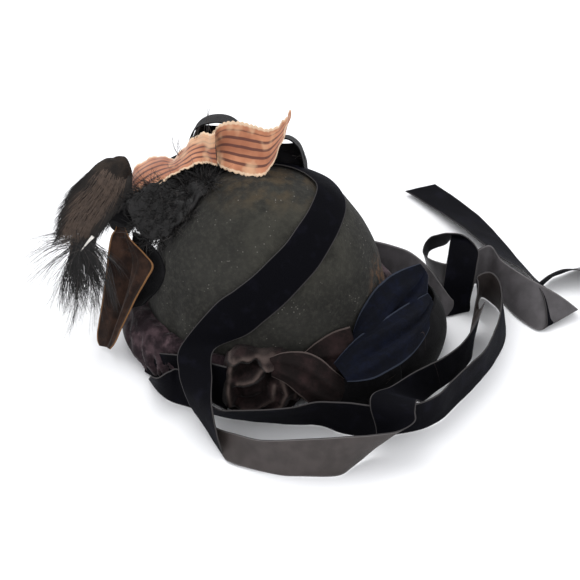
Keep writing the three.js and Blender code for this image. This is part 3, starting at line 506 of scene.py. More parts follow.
def ribbon(
    name, sections, width, cloths, per_row=9, across=20, cup=0.0, slack=0.0004, seed=0.0, front=1, creases=()
):
    """A ribbon through its sections, cupped by a share of its width, slack in small waves, and creased along
    lines that cross from one share of its width to another. Its first cloth faces the side front, 1 or -1."""
    edges = [[s[side] for s in sections] for side in range(3)]
    length = ribbon_length(sections)
    nearby = 0.5 / len(sections)

    def shape(u, v):
        s = u if front > 0 else 1 - u
        left, middle, right = (curve_point(edge, v) for edge in edges)
        run = curve_point(edges[1], v + nearby) - curve_point(edges[1], v - nearby)
        normal = (right - left).cross(run)
        normal = normal.normalized() if normal.length > 1e-7 else Vector((0, 0, 0))
        p = left * ((1 - s) * (1 - 2 * s)) + middle * (4 * s * (1 - s)) + right * (s * (2 * s - 1))
        p = p + normal * (cup * (right - left).length * 4 * s * (1 - s))
        p = p + normal * slack * (lumps(p, 0.022, seed) + 0.5 * lumps(p, 0.009, seed + 2))
        fading = math.sin(math.pi * min(max(v, 0.05), 0.95))
        for start, end, height in creases:
            aside = s - start - (end - start) * v
            p = p + normal * height * math.exp(-((aside / CREASE_WIDTH) ** 2)) * fading
        p.z = max(p.z, 0.0005)
        return p

    piece = grid_piece(
        name, across, per_row * (len(sections) - 1), shape, cloths, uv=lambda u, v: (u * width, v * length)
    )
    thicken(piece, TIE_THICK, back=1 if len(cloths) > 1 else 0)
    return piece


def tie_piece(name, node, sections, cloths, flat_width, held, rests_on, **form):
    """A length of the tie ribbon, laid in place of its plain solid."""
    piece = ribbon(name, sections, TIE_WIDTH, cloths, **form)
    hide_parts(node)
    ribbon_length(sections)


def tie_velvet_cloth(name, pile, bloom):
    cloth = Cloth(
        name,
        Roughness=0.8,
        Specular_IOR_Level=0.05,
        Sheen_Weight=0.02,
        Sheen_Roughness=0.3,
        Sheen_Tint=(0.6, 0.65, 0.9, 1),
    )
    across = cloth.strip()[0]
    share = cloth.speckle(70, 3).between(0.5, 0.75) * 0.5
    edge = (1 - across.between(0.0004, 0.0011)) + across.between(TIE_WIDTH - 0.0011, TIE_WIDTH - 0.0004)
    colour = cloth.tint(share, pile, bloom)
    colour = cloth.tint(edge * 0.75, colour, (0.06, 0.056, 0.056, 1))
    return cloth.finish(colour, height=cloth.speckle(1500, 1), distance=0.0004, strength=0.5)


def satin_cloth(name, dark, light):
    """The ribbon's satin back: fine weft lines, soft streaks and a pale selvedge."""
    cloth = Cloth(name, Specular_IOR_Level=0.3)
    across, along = cloth.strip()
    weft = (along * 9000.0).sum("SINE") * 0.5 + 0.5
    streak = cloth.speckle(90, 3)
    edge = (1 - across.between(0.0005, 0.0013)) + across.between(TIE_WIDTH - 0.0013, TIE_WIDTH - 0.0005)
    colour = cloth.tint(streak.between(0.3, 0.7), dark, light)
    colour = cloth.tint(edge * 0.6, colour, (0.14, 0.13, 0.13, 1))
    rough = 0.42 + streak * 0.15
    return cloth.finish(colour, rough, height=weft + streak, distance=0.00012, strength=0.5)


tie_velvet = tie_velvet_cloth("tie_velvet", (0.0016, 0.0016, 0.0028, 1), (0.006, 0.006, 0.011, 1))
tie_satin = satin_cloth("tie_satin", (0.03, 0.024, 0.022, 1), (0.046, 0.037, 0.035, 1))

front_rows = crown_sections(TIE_ON_CROWN, TIE_WIDTH) + floor_sections(TIE_ON_FLOOR, TIE_WIDTH)
front_faces = [tie_velvet, tie_satin]
on_both = ["felt_crown", "table_top"]
tie_piece("front_tie", "tie_front", front_rows, front_faces, TIE_WIDTH, "laid", on_both, front=-1, seed=1)

TIE_UNDER = [
    # as the front tie's rows on the floor
    (-0.98, -0.68, 0, 90, 80, 0.2),
    (-0.91, -0.76, 0.05, 90, 80, 0.6),
    (-0.77, -0.91, 0.1, 85, 82, 0.85),
    (-0.6, -1.02, 0.12, 85, 82, 0.98),
    (-0.45, -1.11, 0.1, 85, 80, 1),
    (-0.3, -1.22, 0.04, 85, 82, 1.15),
]
UNDER_WIDTH = 0.0305  # the part of the ribbon's width that shows
under_rows = floor_sections(TIE_UNDER, TIE_WIDTH)
on_band = ["gathered_band"]
tie_piece("tucked_tie", "tie_under", under_rows, [tie_velvet], UNDER_WIDTH, "folded", on_band, seed=2)

# Back tie.
# The second ribbon of the pair, sewn behind the crown. Its satin arches out, stands in a loop and a ring,
# and its velvet runs off behind to a cut end. The other end lies to the right.
TIE_BEHIND = [
    # as the front tie's rows on the floor
    (0.605, 1.065, 0.1, 250, -85, 1),
    (0.845, 0.915, 0.02, 240, -80, 1),
    (1.04, 0.81, 0, 250, -76, 1),
    (1.21, 0.68, 0, 262, -66, 1),
    (1.37, 0.51, 0, 278, -47, 0.99),
    (1.45, 0.29, 0, 268, -59, 0.78),
    (1.51, 0.22, 0, 213, -39, 0.51),
    (1.58, 0.21, 0, 198, 0, 0.74),
    (1.59, 0.27, 0.34, 162, -9, 0.71),
    (1.61, 0.33, 0.77, 142, -10, 0.82),
    (1.64, 0.47, 1.24, 131, -4, 0.93),
    (1.66, 0.61, 1.43, 127, -5, 0.94),
    (1.62, 0.78, 1.12, 108, -35, 0.88),
    (1.54, 0.86, 0.78, 84, -51, 0.98),
    (1.46, 0.9, 0.62, 80, -54, 0.96),
    (1.41, 0.93, 0.51, 77, -56, 0.9),
    (1.38, 0.96, 0.31, 74, -51, 0.92),
    (1.37, 0.93, 0.08, 74, -50, 1),
    (1.4, 0.81, 0, 72, -66, 0.84),
    (1.46, 0.68, 0, 46, -87, 0.77),
    (1.54, 0.58, 0, 280, -81, 0.84),
    (1.68, 0.66, 0, 32, -82, 0.89),
    (1.9, 0.8, 0, 265, -70, 1),
    (2, 0.56, 0, 268, -55, 1),
    (2.14, 0.3, 0, 250, -52, 1),
    (2.33, 0.09, 0, 224, -39, 1),
    (2.45, 0.06, 0.04, 212, -14, 1),
    (2.47, 0.12, 0.12, 216, 4, 1),
    (2.4, 0.34, 0.06, 228, 34, 1),
    (2.28, 0.64, 0, 228, 45, 1),
    (2.14, 0.98, 0, 222, 34, 1),
    (2.01, 1.34, 0, 214, 26, 1),
    (1.9, 1.66, 0, 208, 20, 1),
    (1.75, 2.0, 0, 206, 12, 1),
    (1.57, 2.33, 0, 206, 8, 1),
    (1.44, 2.54, 0, 210, 6, 1),
]
TIE_END = [
    (2.36, 0.62, 0.02, 240, 40, 0.5),
    (2.46, 0.74, 0.02, 250, 42, 0.6),
    (2.56, 0.78, 0.02, 262, 45, 0.75),
    (2.7, 0.82, 0, 268, 35, 0.95),
    (2.84, 0.86, 0, 270, 25, 0.9),
    (2.92, 0.9, 0, 285, 18, 0.6),
]
clean_satin = satin_cloth("clean_satin", (0.05, 0.046, 0.048, 1), (0.075, 0.069, 0.073, 1))
back_rows = floor_sections(TIE_BEHIND, TIE_WIDTH)
back_faces = [tie_velvet, clean_satin]
on_table = ["table_top"]
tie_piece("back_tie", "tie_back", back_rows, back_faces, TIE_WIDTH, "laid", on_table, front=-1, seed=3)

END_WIDTH = 0.028  # the mean of its slanting cut
end_rows = floor_sections(TIE_END, TIE_WIDTH)
tie_piece("tie_far_end", "tie_end", end_rows, back_faces, END_WIDTH, "laid", on_table, front=-1, seed=4)

# Velvet knot.
# The band's brown velvet is drawn up into a twisted knot at the front. Folds turn into its middle, a tail
# comes out of the twist to the right, and the band's edge is turned up beside it.
KNOT_RADIUS = 0.042
KNOT_DEPTH = 0.017
KNOT_FACE = 0.9  # the share of the knot's rings that make its face; the rest turn back at its rim
KNOT_OUTLINE = [
    # angle round the knot's middle, reach as a share of its radius
    (0, 0.8),
    (54, 0.73),
    (90, 0.62),
    (131, 0.83),
    (180, 0.72),
    (208, 0.86),
    (250, 0.66),
    (287, 0.67),
    (307, 0.71),
    (340, 0.78),
    (360, 0.8),
]
KNOT_FOLDS = [
    # height as a share of the knot's depth, then the line that the fold follows, in knot radii
    (0.62, [(0.05, 0.52), (0.28, 0.38), (0.4, 0.16), (0.44, -0.08), (0.36, -0.3), (0.12, -0.5)]),
    (0.45, [(-0.6, 0.58), (-0.29, 0.58), (0.2, 0.6), (0.5, 0.5), (0.7, 0.3)]),
    (0.4, [(-0.5, 0.6), (-0.57, 0.38), (-0.62, -0.08), (-0.58, -0.34)]),
    (0.45, [(0.09, 0.44), (-0.15, 0.23), (-0.44, 0.12)]),
    (0.45, [(0.23, 0.1), (0.2, -0.19), (-0.1, -0.38), (-0.35, -0.4)]),
    (0.35, [(0.55, 0.3), (0.64, 0.05), (0.6, -0.2)]),
]
KNOT_MIDDLE = Vector((-0.03 * HALF_LENGTH, -1.18 * HALF_WIDTH, 0.62 * BAND_HEIGHT))
KNOT_UP = Vector((0, 0.3, 0.95)).normalized()
KNOT_FORWARD = Vector((1, 0, 0)).cross(KNOT_UP).normalized()


def fold_rise(x, y):
    """How far the knot's folds stand out at a place, and how near that place is to a fold's ridge, where a
    highlight is painted.
    """
    rise, highlight_mask = 0.0, 0.0
    here = Vector((x, y))
    for height, line in KNOT_FOLDS:
        away = 9.0
        for start, end in zip(line, line[1:]):
            share = intersect_point_line(here, Vector(start), Vector(end))[1]
            near = Vector(start).lerp(Vector(end), min(max(share, 0), 1))
            away = min(away, (here - near).length)
        rise += height * (math.exp(-((away / 0.09) ** 2)) - 0.45 * math.exp(-(((away - 0.17) / 0.07) ** 2)))
        highlight_mask = max(highlight_mask, math.exp(-((away / 0.035) ** 2)))
    return rise, highlight_mask


def knot_place(u, v):
    """A place in the knot's plane, in knot radii, and its share of the way from the middle to the rim."""
    angle = 2 * math.pi * u
    share = min(v / KNOT_FACE, 1)
    reach = eased(KNOT_OUTLINE, 360 * u, 1) * share
    return reach * math.cos(angle), reach * math.sin(angle), share


def knot_shape(u, v):
    x, y, share = knot_place(u, v)
    rise = fold_rise(x, y)[0]
    depth = KNOT_DEPTH * (math.sqrt(max(1 - 0.9 * share**2.5, 0)) + rise - 0.4)
    if v > KNOT_FACE:
        depth -= (v - KNOT_FACE) / (1 - KNOT_FACE) * KNOT_DEPTH
    p = KNOT_MIDDLE + KNOT_RADIUS * (Vector((1, 0, 0)) * x + KNOT_UP * y) + KNOT_FORWARD * depth
    p = p + KNOT_FORWARD * 0.001 * lumps(p, 0.008, 6)
    p.z = max(p.z, 0.0004)
    return p


# The knot's UV map carries how near each place is to a fold ridge, for the painted highlight.
def knot_highlight_uv(u, v):
    x, y, share = knot_place(u, v)
    return u, fold_rise(x, y)[1]


knot_pile = (0.006, 0.0036, 0.0035, 1)
# A lighter brown painted as highlight along the knot's fold ridges.
knot_highlight_colour = (0.075, 0.056, 0.05, 1)
knot_velvet = velvet("knot_velvet", knot_pile, (0.032, 0.018, 0.018, 1), 0.05, 0.8, painted_ridge_highlight=knot_highlight_colour)
knot = grid_piece("twisted_knot", 220, 90, knot_shape, [knot_velvet], uv=knot_highlight_uv, closed=True)
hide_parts("velvet_knot")


def sized(x, y, z):
    """A place from its shares of the crown's half length, half width and height."""
    return Vector((x * HALF_LENGTH, y * HALF_WIDTH, z * CROWN_HEIGHT))


def trim_sections(rows, width):
    """Rows of a bow or loop: the middle's place as shares of the crown's sizes, turn, tilt and width."""
    return [section(sized(x, y, z), turn, tilt, width * wide / 2) for x, y, z, turn, tilt, wide in rows]


def flat_size(piece, length):
    """The cloth's width and length when it is laid flat, from its area along its folds."""
    return sum(face.area for face in piece.data.polygons) / length, length


def bow_piece(name, node, slot, rows, cloth, width=BOW_WIDTH, **form):
    """A shaped strip of a bow, laid in place of its plain solid."""
    sections = trim_sections(rows, width)
    piece = ribbon(name, sections, width, [cloth], per_row=12, **form)
    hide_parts(node)
    flat_size(piece, ribbon_length(sections))


KNOT_TAIL = [
    # x, y and z as shares of the crown's sizes, turn, tilt, width as a share, as in each bow's table
    (0.04, -1.22, 0.3, -80, -55, 0.3),
    (0.15, -1.24, 0.3, -85, -50, 0.5),
    (0.28, -1.26, 0.27, -100, -52, 0.7),
    (0.39, -1.27, 0.22, -105, -55, 0.76),
    (0.5, -1.26, 0.17, -100, -58, 0.62),
    (0.6, -1.22, 0.14, -95, -60, 0.36),
]
TURN_UP = [
    (0.3, -1.05, 0.23, -75, -62, 0.4),
    (0.42, -1.02, 0.23, -70, -58, 0.7),
    (0.56, -0.97, 0.25, -68, -54, 0.82),
    (0.7, -0.9, 0.26, -65, -50, 0.8),
]
strip_pile = (0.0055, 0.0034, 0.0032, 1)
strip_crushed = (0.026, 0.014, 0.014, 1)
strip_edge = (0.085, 0.066, 0.06, 1)
strip_velvet = velvet("strip_velvet", strip_pile, strip_crushed, 0.05, 0.8, edge=strip_edge)
strip_folds = ((0.25, 0.5, 0.003), (0.7, 0.8, 0.0025))
bow_piece("knot_strip", "knot_tail", "brown_velvet", KNOT_TAIL, strip_velvet, cup=0.1, creases=strip_folds)
bow_piece("turned_edge", "band_turn_up", "brown_velvet", TURN_UP, strip_velvet, cup=0.06, creases=strip_folds)

# Navy bow and black loops.
# A bow of dark navy velvet at the right front: a broad leaf that points up and a tail that points down.
# Black velvet loops lie under it.
navy_pile = (0.0007, 0.0012, 0.0038, 1)
navy_crushed = (0.0026, 0.0045, 0.015, 1)
navy_edge = (0.035, 0.042, 0.06, 1)
navy_velvet = velvet("navy_velvet", navy_pile, navy_crushed, 0.03, 0.8, (0.4, 0.55, 1, 1), edge=navy_edge)
black_velvet = velvet("black_velvet", (0.0018, 0.0017, 0.0022, 1), (0.009, 0.0085, 0.01, 1), 0.05, 0.7)
NAVY_LEAF = [
    (0.68, -0.92, 0.27, -85, -30, 0.5),
    (0.8, -0.84, 0.33, -60, -28, 0.75),
    (0.9, -0.7, 0.35, -45, -32, 0.85),
    (0.99, -0.52, 0.37, -38, -38, 0.86),
    (1.1, -0.35, 0.39, -36, -43, 0.8),
    (1.19, -0.22, 0.41, -33, -47, 0.62),
    (1.26, -0.1, 0.45, -28, -54, 0.26),
]
NAVY_TAIL = [
    (0.57, -1.2, 0.25, -60, -10, 0.42),
    (0.65, -1.16, 0.27, -66, -14, 0.6),
    (0.75, -1.1, 0.29, -65, -18, 0.75),
    (0.87, -1.0, 0.31, -65, -22, 0.8),
    (1.0, -0.87, 0.32, -66, -26, 0.8),
    (1.13, -0.68, 0.32, -66, -32, 0.72),
    (1.24, -0.48, 0.32, -60, -40, 0.52),
    (1.31, -0.3, 0.33, -57, -45, 0.25),
]
BLACK_RIGHT = [
    (0.98, -0.88, 0.16, -75, -76, 0.98),
    (1.16, -0.76, 0.16, -60, -78, 0.98),
    (1.32, -0.52, 0.16, -35, -78, 0.98),
    (1.4, -0.22, 0.16, -10, -78, 0.98),
    (1.36, 0.06, 0.15, 20, -78, 0.9),
    (1.22, 0.2, 0.14, 60, -80, 0.8),
    (1.04, 0.22, 0.14, 90, -82, 0.8),
]
BLACK_FRONT = [
    (0.3, -1.28, 0.04, -90, -70, 0.15),
    (0.45, -1.27, 0.07, -90, -70, 0.4),
    (0.6, -1.24, 0.1, -85, -68, 0.62),
    (0.76, -1.14, 0.12, -75, -68, 0.75),
    (0.92, -1.0, 0.13, -65, -70, 0.8),
    (1.03, -0.9, 0.13, -60, -72, 0.8),
]
leaf_folds = ((0.2, 0.45, 0.004), (0.62, 0.55, -0.004), (0.85, 0.6, 0.003))
tail_folds = ((0.15, 0.4, 0.004), (0.5, 0.5, -0.004), (0.85, 0.6, 0.004))
bow_piece("navy_upper", "navy_leaf", "navy_satin", NAVY_LEAF, navy_velvet, cup=0.1, creases=leaf_folds)
bow_piece("navy_lower", "navy_tail", "navy_satin", NAVY_TAIL, navy_velvet, cup=0.1, creases=tail_folds)
bow_piece("black_side_loop", "black_loop_right", "tie_velvet", BLACK_RIGHT, black_velvet, cup=0.12)
bow_piece("black_low_loop", "black_loop_front", "tie_velvet", BLACK_FRONT, black_velvet, cup=0.12)

# Brown loop and the black fold behind it.
# A loop of brown silk velvet, rubbed to tan along its edges, hangs from the trimming to the table.
loop_pile = (0.011, 0.006, 0.0045, 1)
loop_crushed = (0.05, 0.025, 0.016, 1)
loop_edge = (0.22, 0.11, 0.045, 1)
brown_silk = velvet("brown_silk", loop_pile, loop_crushed, 0.05, 0.8, edge=loop_edge)
BROWN_LOOP = [
    (-1.16, 0.05, 0.7, -50, 0, 0.25),
    (-1.13, -0.08, 0.68, -48, 0, 0.4),
    (-1.09, -0.17, 0.64, -32, -8, 0.7),
    (-1.07, -0.26, 0.58, -26, 4, 0.88),
    (-1.11, -0.31, 0.48, -28, 20, 0.92),
    (-1.18, -0.35, 0.35, -33, 30, 0.9),
    (-1.26, -0.38, 0.2, -41, 30, 0.78),
    (-1.31, -0.39, 0.09, -46, 26, 0.6),
    (-1.33, -0.39, 0.04, -49, 22, 0.36),
]
BLACK_FOLD = [
    (-1.0, -0.1, 0.68, -45, 5, 0.3),
    (-0.95, -0.2, 0.62, -35, 5, 0.6),
    (-0.94, -0.28, 0.52, -30, 14, 0.75),
    (-0.99, -0.31, 0.4, -30, 26, 0.75),
    (-1.07, -0.32, 0.29, -35, 35, 0.55),
]
loop_folds = ((0.35, 0.55, 0.004), (0.7, 0.75, -0.003))
bow_piece(
    "brown_hanging_loop", "brown_loop", "brown_silk", BROWN_LOOP, brown_silk, cup=0.08, creases=loop_folds
)
bow_piece("black_back_fold", "black_fold", "tie_velvet", BLACK_FOLD, black_velvet, cup=0.08)

# Fur loop.
# A flattened sleeve of brown fur, folded over at the top. Its hairs hide its open end at the lower left.
FUR_LOOP = [
    # x, y and z as shares of the crown's sizes, turn, tilt, half width and half depth in metres
    (-1.49, 0.0, 0.67, -90, -72, 0.012, 0.007),
    (-1.45, 0.05, 0.73, -60, -66, 0.014, 0.008),
    (-1.36, 0.13, 0.8, -20, -45, 0.017, 0.009),
    (-1.26, 0.22, 0.87, 0, -25, 0.018, 0.009),
    (-1.2, 0.31, 0.93, 0, -12, 0.015, 0.008),
    (-1.17, 0.36, 0.98, 0, -8, 0.009, 0.005),
    (-1.17, 0.37, 1.0, 0, -8, 0.003, 0.002),
]
fur = Cloth("fur", Roughness=0.75, Specular_IOR_Level=0.2)
fur_skin = fur.finish(
    fur.tint(fur.speckle(120, 3).between(0.35, 0.7), (0.007, 0.005, 0.004, 1), (0.022, 0.015, 0.011, 1)),
    height=fur.speckle(700, 2),
    distance=0.0008,
)
fur_centres = [sized(*row[:3]) for row in FUR_LOOP]
fur_sides = [direction(row[3], row[4]) for row in FUR_LOOP]
fur_sizes = [Vector((row[5], row[6], 0)) for row in FUR_LOOP]


def fur_frame(v):
    """The sleeve's middle, its two half axes and its direction at a share of its length."""
    middle = curve_point(fur_centres, v)
    along = (curve_point(fur_centres, v + 0.05) - curve_point(fur_centres, v - 0.05)).normalized()
    side = curve_point(fur_sides, v)
    side = (side - along * side.dot(along)).normalized()
    size = curve_point(fur_sizes, v)
    return middle, side * size.x, along.cross(side) * size.y, along


def fur_shape(u, v):
    middle, side, front, along = fur_frame(v)
    a = 2 * math.pi * u
    p = middle + side * math.cos(a) + front * math.sin(a)
    return p + 0.0008 * lumps(p, 0.012, 4) * front.normalized()


fur_loop = grid_piece("fur_sleeve", 48, 60, fur_shape, [fur_skin], closed=True)
thicken(fur_loop, 0.0022, offset=-1)
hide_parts("fur_loop")


def hair_piece(name, cloths, strands):
    """Hairs as tapering two-sided strips: each is a list of points, a width and a cloth's number."""
    form = bmesh.new()
    for points, width, cloth in strands:
        ahead = points[-1] - points[0]
        aside = ahead.cross(Vector((0.3, -0.8, 0.5))).normalized()
        last = None
        for i, p in enumerate(points):
            half = 0.5 * width * (1 - 0.85 * i / (len(points) - 1))
            pair = (form.verts.new(p - aside * half), form.verts.new(p + aside * half))
            if last:
                face = form.faces.new((last[0], last[1], pair[1], pair[0]))
                face.material_index = cloth
                face.smooth = True
            last = pair
    piece = finished(name, form, cloths)
    return piece


def hair_cloth(name, colour, rough=0.55, shine=0.35):
    cloth = Cloth(name, Roughness=rough, Specular_IOR_Level=shine)
    lighter = (*(1.7 * part for part in colour[:3]), 1)
    return cloth.finish(cloth.tint(cloth.speckle(300, 2).between(0.3, 0.7), colour, lighter))


luck = random.Random(7)


def scatter(spread):
    """A random step, most often about as long as its spread."""
    return spread * Vector([luck.gauss(0, 1) for part in range(3)])


# The fur's hair in its own dark brown, and lit and shaded copies of it: a painted sheen and a painted shade.
fur_dark = hair_cloth("fur_dark", (0.009, 0.006, 0.0045, 1))
fur_painted_sheen = hair_cloth("fur_painted_sheen", (0.05, 0.033, 0.024, 1))
fur_painted_shade = hair_cloth("fur_painted_shade", (0.0035, 0.0025, 0.002, 1))
FUR_HAIRS = 5200
HAIR_THICK = 0.00042
BARB_THICK = 0.0005
TOWARDS_FRONT = Vector((0.1, -0.85, 0.5)).normalized()
fur_hairs = []
for i in range(FUR_HAIRS):
    v = luck.uniform(0.0, 0.97)
    a = luck.uniform(0, 2 * math.pi)
    middle, side, front, along = fur_frame(v)
    root = middle + side * math.cos(a) + front * math.sin(a)
    out = side * math.cos(a) / max(side.length, 1e-4) + front * math.sin(a) / max(front.length, 1e-4)
    out.normalize()
    lie = along * -1.0 + out * luck.uniform(0.08, 0.2)
    lie += 0.12 * Vector([luck.uniform(-1, 1) for part in range(3)])
    lie.normalize()
    reach = luck.uniform(0.01, 0.022)
    points = [root, root + lie * reach * 0.5 + out * 0.0006, root + lie * reach + out * 0.0004]
    # Hairs facing the front get the painted sheen and hairs facing away get the painted shade, with some
    # noise.
    streak = out.dot(TOWARDS_FRONT) + 0.4 * lumps(root, 0.012, 6) - 0.5 * v * (1 - v)
    tone = 1 if streak > 0.62 else 0 if streak > 0.25 else 2
    fur_hairs.append((points, HAIR_THICK, tone))
hair_piece("fur_hairs", [fur_dark, fur_painted_sheen, fur_painted_shade], fur_hairs)

# Feather spray.
# Long black feather strands, tied to the lower end of the fur loop. Some stand out to the left and the rest
# hang past the brown loop. A pale quill end shows at the knot.
SPRAY_ROOT = sized(-1.47, -0.1, 0.64)
SPRAY = [
    # bend and tip, as shares of the crown's sizes
    (-1.7, -0.2, 0.66, -1.92, -0.37, 0.6),
    (-1.66, -0.3, 0.6, -1.86, -0.5, 0.5),
    (-1.68, -0.1, 0.68, -1.86, -0.12, 0.62),
    (-1.62, -0.3, 0.52, -1.74, -0.48, 0.41),
    (-1.56, -0.26, 0.48, -1.6, -0.36, 0.24),
    (-1.5, -0.3, 0.44, -1.52, -0.42, 0.2),
    (-1.42, -0.3, 0.5, -1.42, -0.44, 0.26),
    (-1.34, -0.26, 0.54, -1.3, -0.46, 0.32),
    (-1.26, -0.24, 0.58, -1.2, -0.46, 0.42),
]
FAR_OUT = -1.6  # rows that bend beyond this place have few, thin locks
feather_black = hair_cloth("feather_black", (0.004, 0.0035, 0.0035, 1), 0.5, 0.3)
# Dark grey for the loose grey hairs, and for scattered barbs and strands painted grey as highlights on the
# black feathers.
grey_hair_and_painted_highlight = hair_cloth("grey_hair_and_painted_highlight", (0.03, 0.026, 0.024, 1), 0.5, 0.3)


def strand(root, bend, tip, count=7):
    """Points of a hair that leaves its root towards the bend and ends at the tip."""
    steps = [i / count for i in range(count + 1)]
    return [root * (1 - t) ** 2 + bend * (2 * t * (1 - t)) + tip * t**2 for t in steps]


spray_hairs = []
for row in SPRAY:
    bend, tip = sized(*row[:3]), sized(*row[3:])
    far_out = row[0] < FAR_OUT
    for lock in range(5 if far_out else 9):
        over = luck.uniform(0.85, 1.12) if far_out else luck.uniform(0.6, 1.1)
        lock_end = SPRAY_ROOT + (tip - SPRAY_ROOT) * over + scatter(0.006)
        lock_turn = bend + scatter(0.006)
        for i in range(4 if far_out else 17):
            root = SPRAY_ROOT + scatter(0.003)
            end = lock_end + scatter(0.0022)
            end.z = max(end.z, 0.004)
            turn = lock_turn + scatter(0.002)
            # About one strand in seven is painted grey as a highlight.
            spray_hairs.append((strand(root, turn, end), HAIR_THICK, 0 if luck.random() < 0.85 else 1))
longest = strand(SPRAY_ROOT, sized(-1.67, -0.18, 0.35), sized(-1.98, -0.18, 0.21), 12)
spray_hairs.append((longest, BARB_THICK, 0))
quill_white = hair_cloth("quill_white", (0.45, 0.43, 0.4, 1))
quill = [sized(-1.35, -0.2, 0.71), sized(-1.4, -0.2, 0.67), sized(-1.46, -0.2, 0.615)]
spray_hairs.append((quill, 0.0028, 2))
spray = hair_piece("feather_strands", [feather_black, grey_hair_and_painted_highlight, quill_white], spray_hairs)
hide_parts("feather_spray")

# Trim pad.
# A roll of wadding covered in black velvet that the bows, feathers and fur are sewn to. Little of it shows.
PAD_RADIUS = 0.015
PAD = [
    # x, y and z as shares of the crown's sizes, radius as a share
    (-1.17, 0.02, 0.68, 0.62),
    (-1.1, 0.2, 0.72, 0.8),
    (-0.95, 0.34, 0.76, 1),
    (-0.75, 0.42, 0.85, 1),
    (-0.5, 0.44, 0.94, 0.9),
    (-0.2, 0.44, 0.99, 0.7),
    (0.1, 0.44, 0.98, 0.65),
    (0.28, 0.43, 0.94, 0.4),
]
PAD_END = 0.06  # the share of the roll's length in which each end rounds off
pad_centres = [sized(*row[:3]) for row in PAD]
pad_sizes = [Vector((row[3], 0, 0)) for row in PAD]


def pad_shape(u, v):
    share = min(max((v - PAD_END) / (1 - 2 * PAD_END), 0), 1)
    middle = curve_point(pad_centres, share)
    along = (curve_point(pad_centres, share + 0.03) - curve_point(pad_centres, share - 0.03)).normalized()
    side = Vector((0, 0, 1)).cross(along).normalized()
    front = along.cross(side)
    size = PAD_RADIUS * curve_point(pad_sizes, share).x * 0.97
    closing = min(v / PAD_END, (1 - v) / PAD_END, 1)
    size *= math.sqrt(max(1 - (1 - closing) ** 2, 0))
    p = middle + (side * math.cos(2 * math.pi * u) + front * math.sin(2 * math.pi * u)) * size
    p = p + 0.0015 * lumps(p, 0.012, 9) * (p - middle).normalized() if size > 1e-5 else p
    onto = onto_crown(p, 0.0004)
    return onto if p.length < onto.length else p


pad = grid_piece("trim_roll", 40, 90, pad_shape, [black_velvet], closed=True)
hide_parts("trim_pad")

# Ostrich tuft.
# Black ostrich barbs, curled and matted, that fall forward over the crown's left shoulder.
TUFT_ROOT = sized(-0.62, 0.24, 0.9)
TUFT = [
    # bend and tip, as shares of the crown's sizes
    (-0.95, 0.14, 0.95, -1.12, 0.06, 0.8),
    (-0.92, 0.06, 0.9, -1.06, -0.08, 0.7),
    (-0.85, 0.0, 0.88, -0.97, -0.16, 0.63),
    (-0.78, -0.06, 0.88, -0.84, -0.22, 0.66),
    (-0.7, -0.08, 0.92, -0.7, -0.24, 0.72),
    (-0.6, -0.06, 0.95, -0.56, -0.22, 0.8),
    (-0.52, 0.0, 1.0, -0.4, -0.04, 0.99),
]


SPINE_STEPS = 12
BARBS_A_SPINE = 560
spines = [strand(TUFT_ROOT, sized(*row[:3]), sized(*row[3:]), SPINE_STEPS) for row in TUFT]


def off_crown(point, lift):
    """The point itself, or where it would sink into the felt, the place above it at a lift."""
    return max(point, onto_crown(point, lift), key=lambda p: p.length)


def tuft_shape(u, v):
    """The matted lower part of the barbs: a fan from the root to the tips, lifted clear of the felt."""
    between_spines = [curve_point([spine[i] for spine in spines], u) for i in range(SPINE_STEPS + 1)]
    p = off_crown(curve_point(between_spines, 0.92 * v), 0.0035)
    return p + p.normalized() * 0.003 * lumps(p, 0.006, 14)


tuft_mat = grid_piece("matted_barbs", 70, 60, tuft_shape, [feather_black])
thicken(tuft_mat, 0.0035)
tuft_barbs = []
for spine in spines:
    ahead = (spine[-1] - TUFT_ROOT).normalized()
    halfway = spine[SPINE_STEPS // 2]
    for i in range(BARBS_A_SPINE):
        t = luck.uniform(0.0, 1.0)
        base = spine[0].lerp(halfway, t * 2) if t < 0.5 else halfway.lerp(spine[-1], t * 2 - 1)
        out = scatter(1).normalized()
        root = off_crown(base + out * 0.004 * luck.random(), 0.001)
        reach = luck.uniform(0.006, 0.013)
        lie = (ahead * 0.5 + out * 0.8).normalized()
        curl = scatter(0.0022)
        bends = [(0, 0), (0.35, 0), (0.7, 1), (0.85, 2)]
        points = [off_crown(root + lie * reach * share + turns * curl, 0.0008) for share, turns in bends]
        # One barb in ten is painted grey as a highlight.
        tuft_barbs.append((points, BARB_THICK, 0 if luck.random() < 0.9 else 1))
tuft = hair_piece("ostrich_barbs", [feather_black, grey_hair_and_painted_highlight], tuft_barbs)
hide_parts("ostrich_tuft")

# Silk ribbon.
# Faded salmon silk with brown stripes woven along it and pinked cream edges, set in a leaf and a loop.
SILK_WIDTH = 0.044
SILK_THICK = 0.0006
STRIPE_EVERY = 0.0074
SCALLOP_EVERY = 0.0042
SILK_LEFT = [
    (-1.12, 0.24, 0.75, 87, 8, 0.14),
    (-1.09, 0.3, 0.8, 96, 20, 0.45),
    (-1.03, 0.35, 0.85, 101, 14, 0.68),
    (-0.93, 0.36, 0.9, 101, 8, 0.8),
    (-0.82, 0.35, 0.94, 101, 4, 0.72),
    (-0.72, 0.3, 0.97, 101, 4, 0.42),
    (-0.64, 0.28, 1.02, 101, 10, 0.5),
    (-0.55, 0.27, 1.07, 102, 22, 0.54),
    (-0.47, 0.24, 1.1, 101, 42, 0.54),
    (-0.42, 0.18, 1.11, 97, 54, 0.5),
    (-0.385, 0.17, 1.115, 97, 54, 0.56),
]
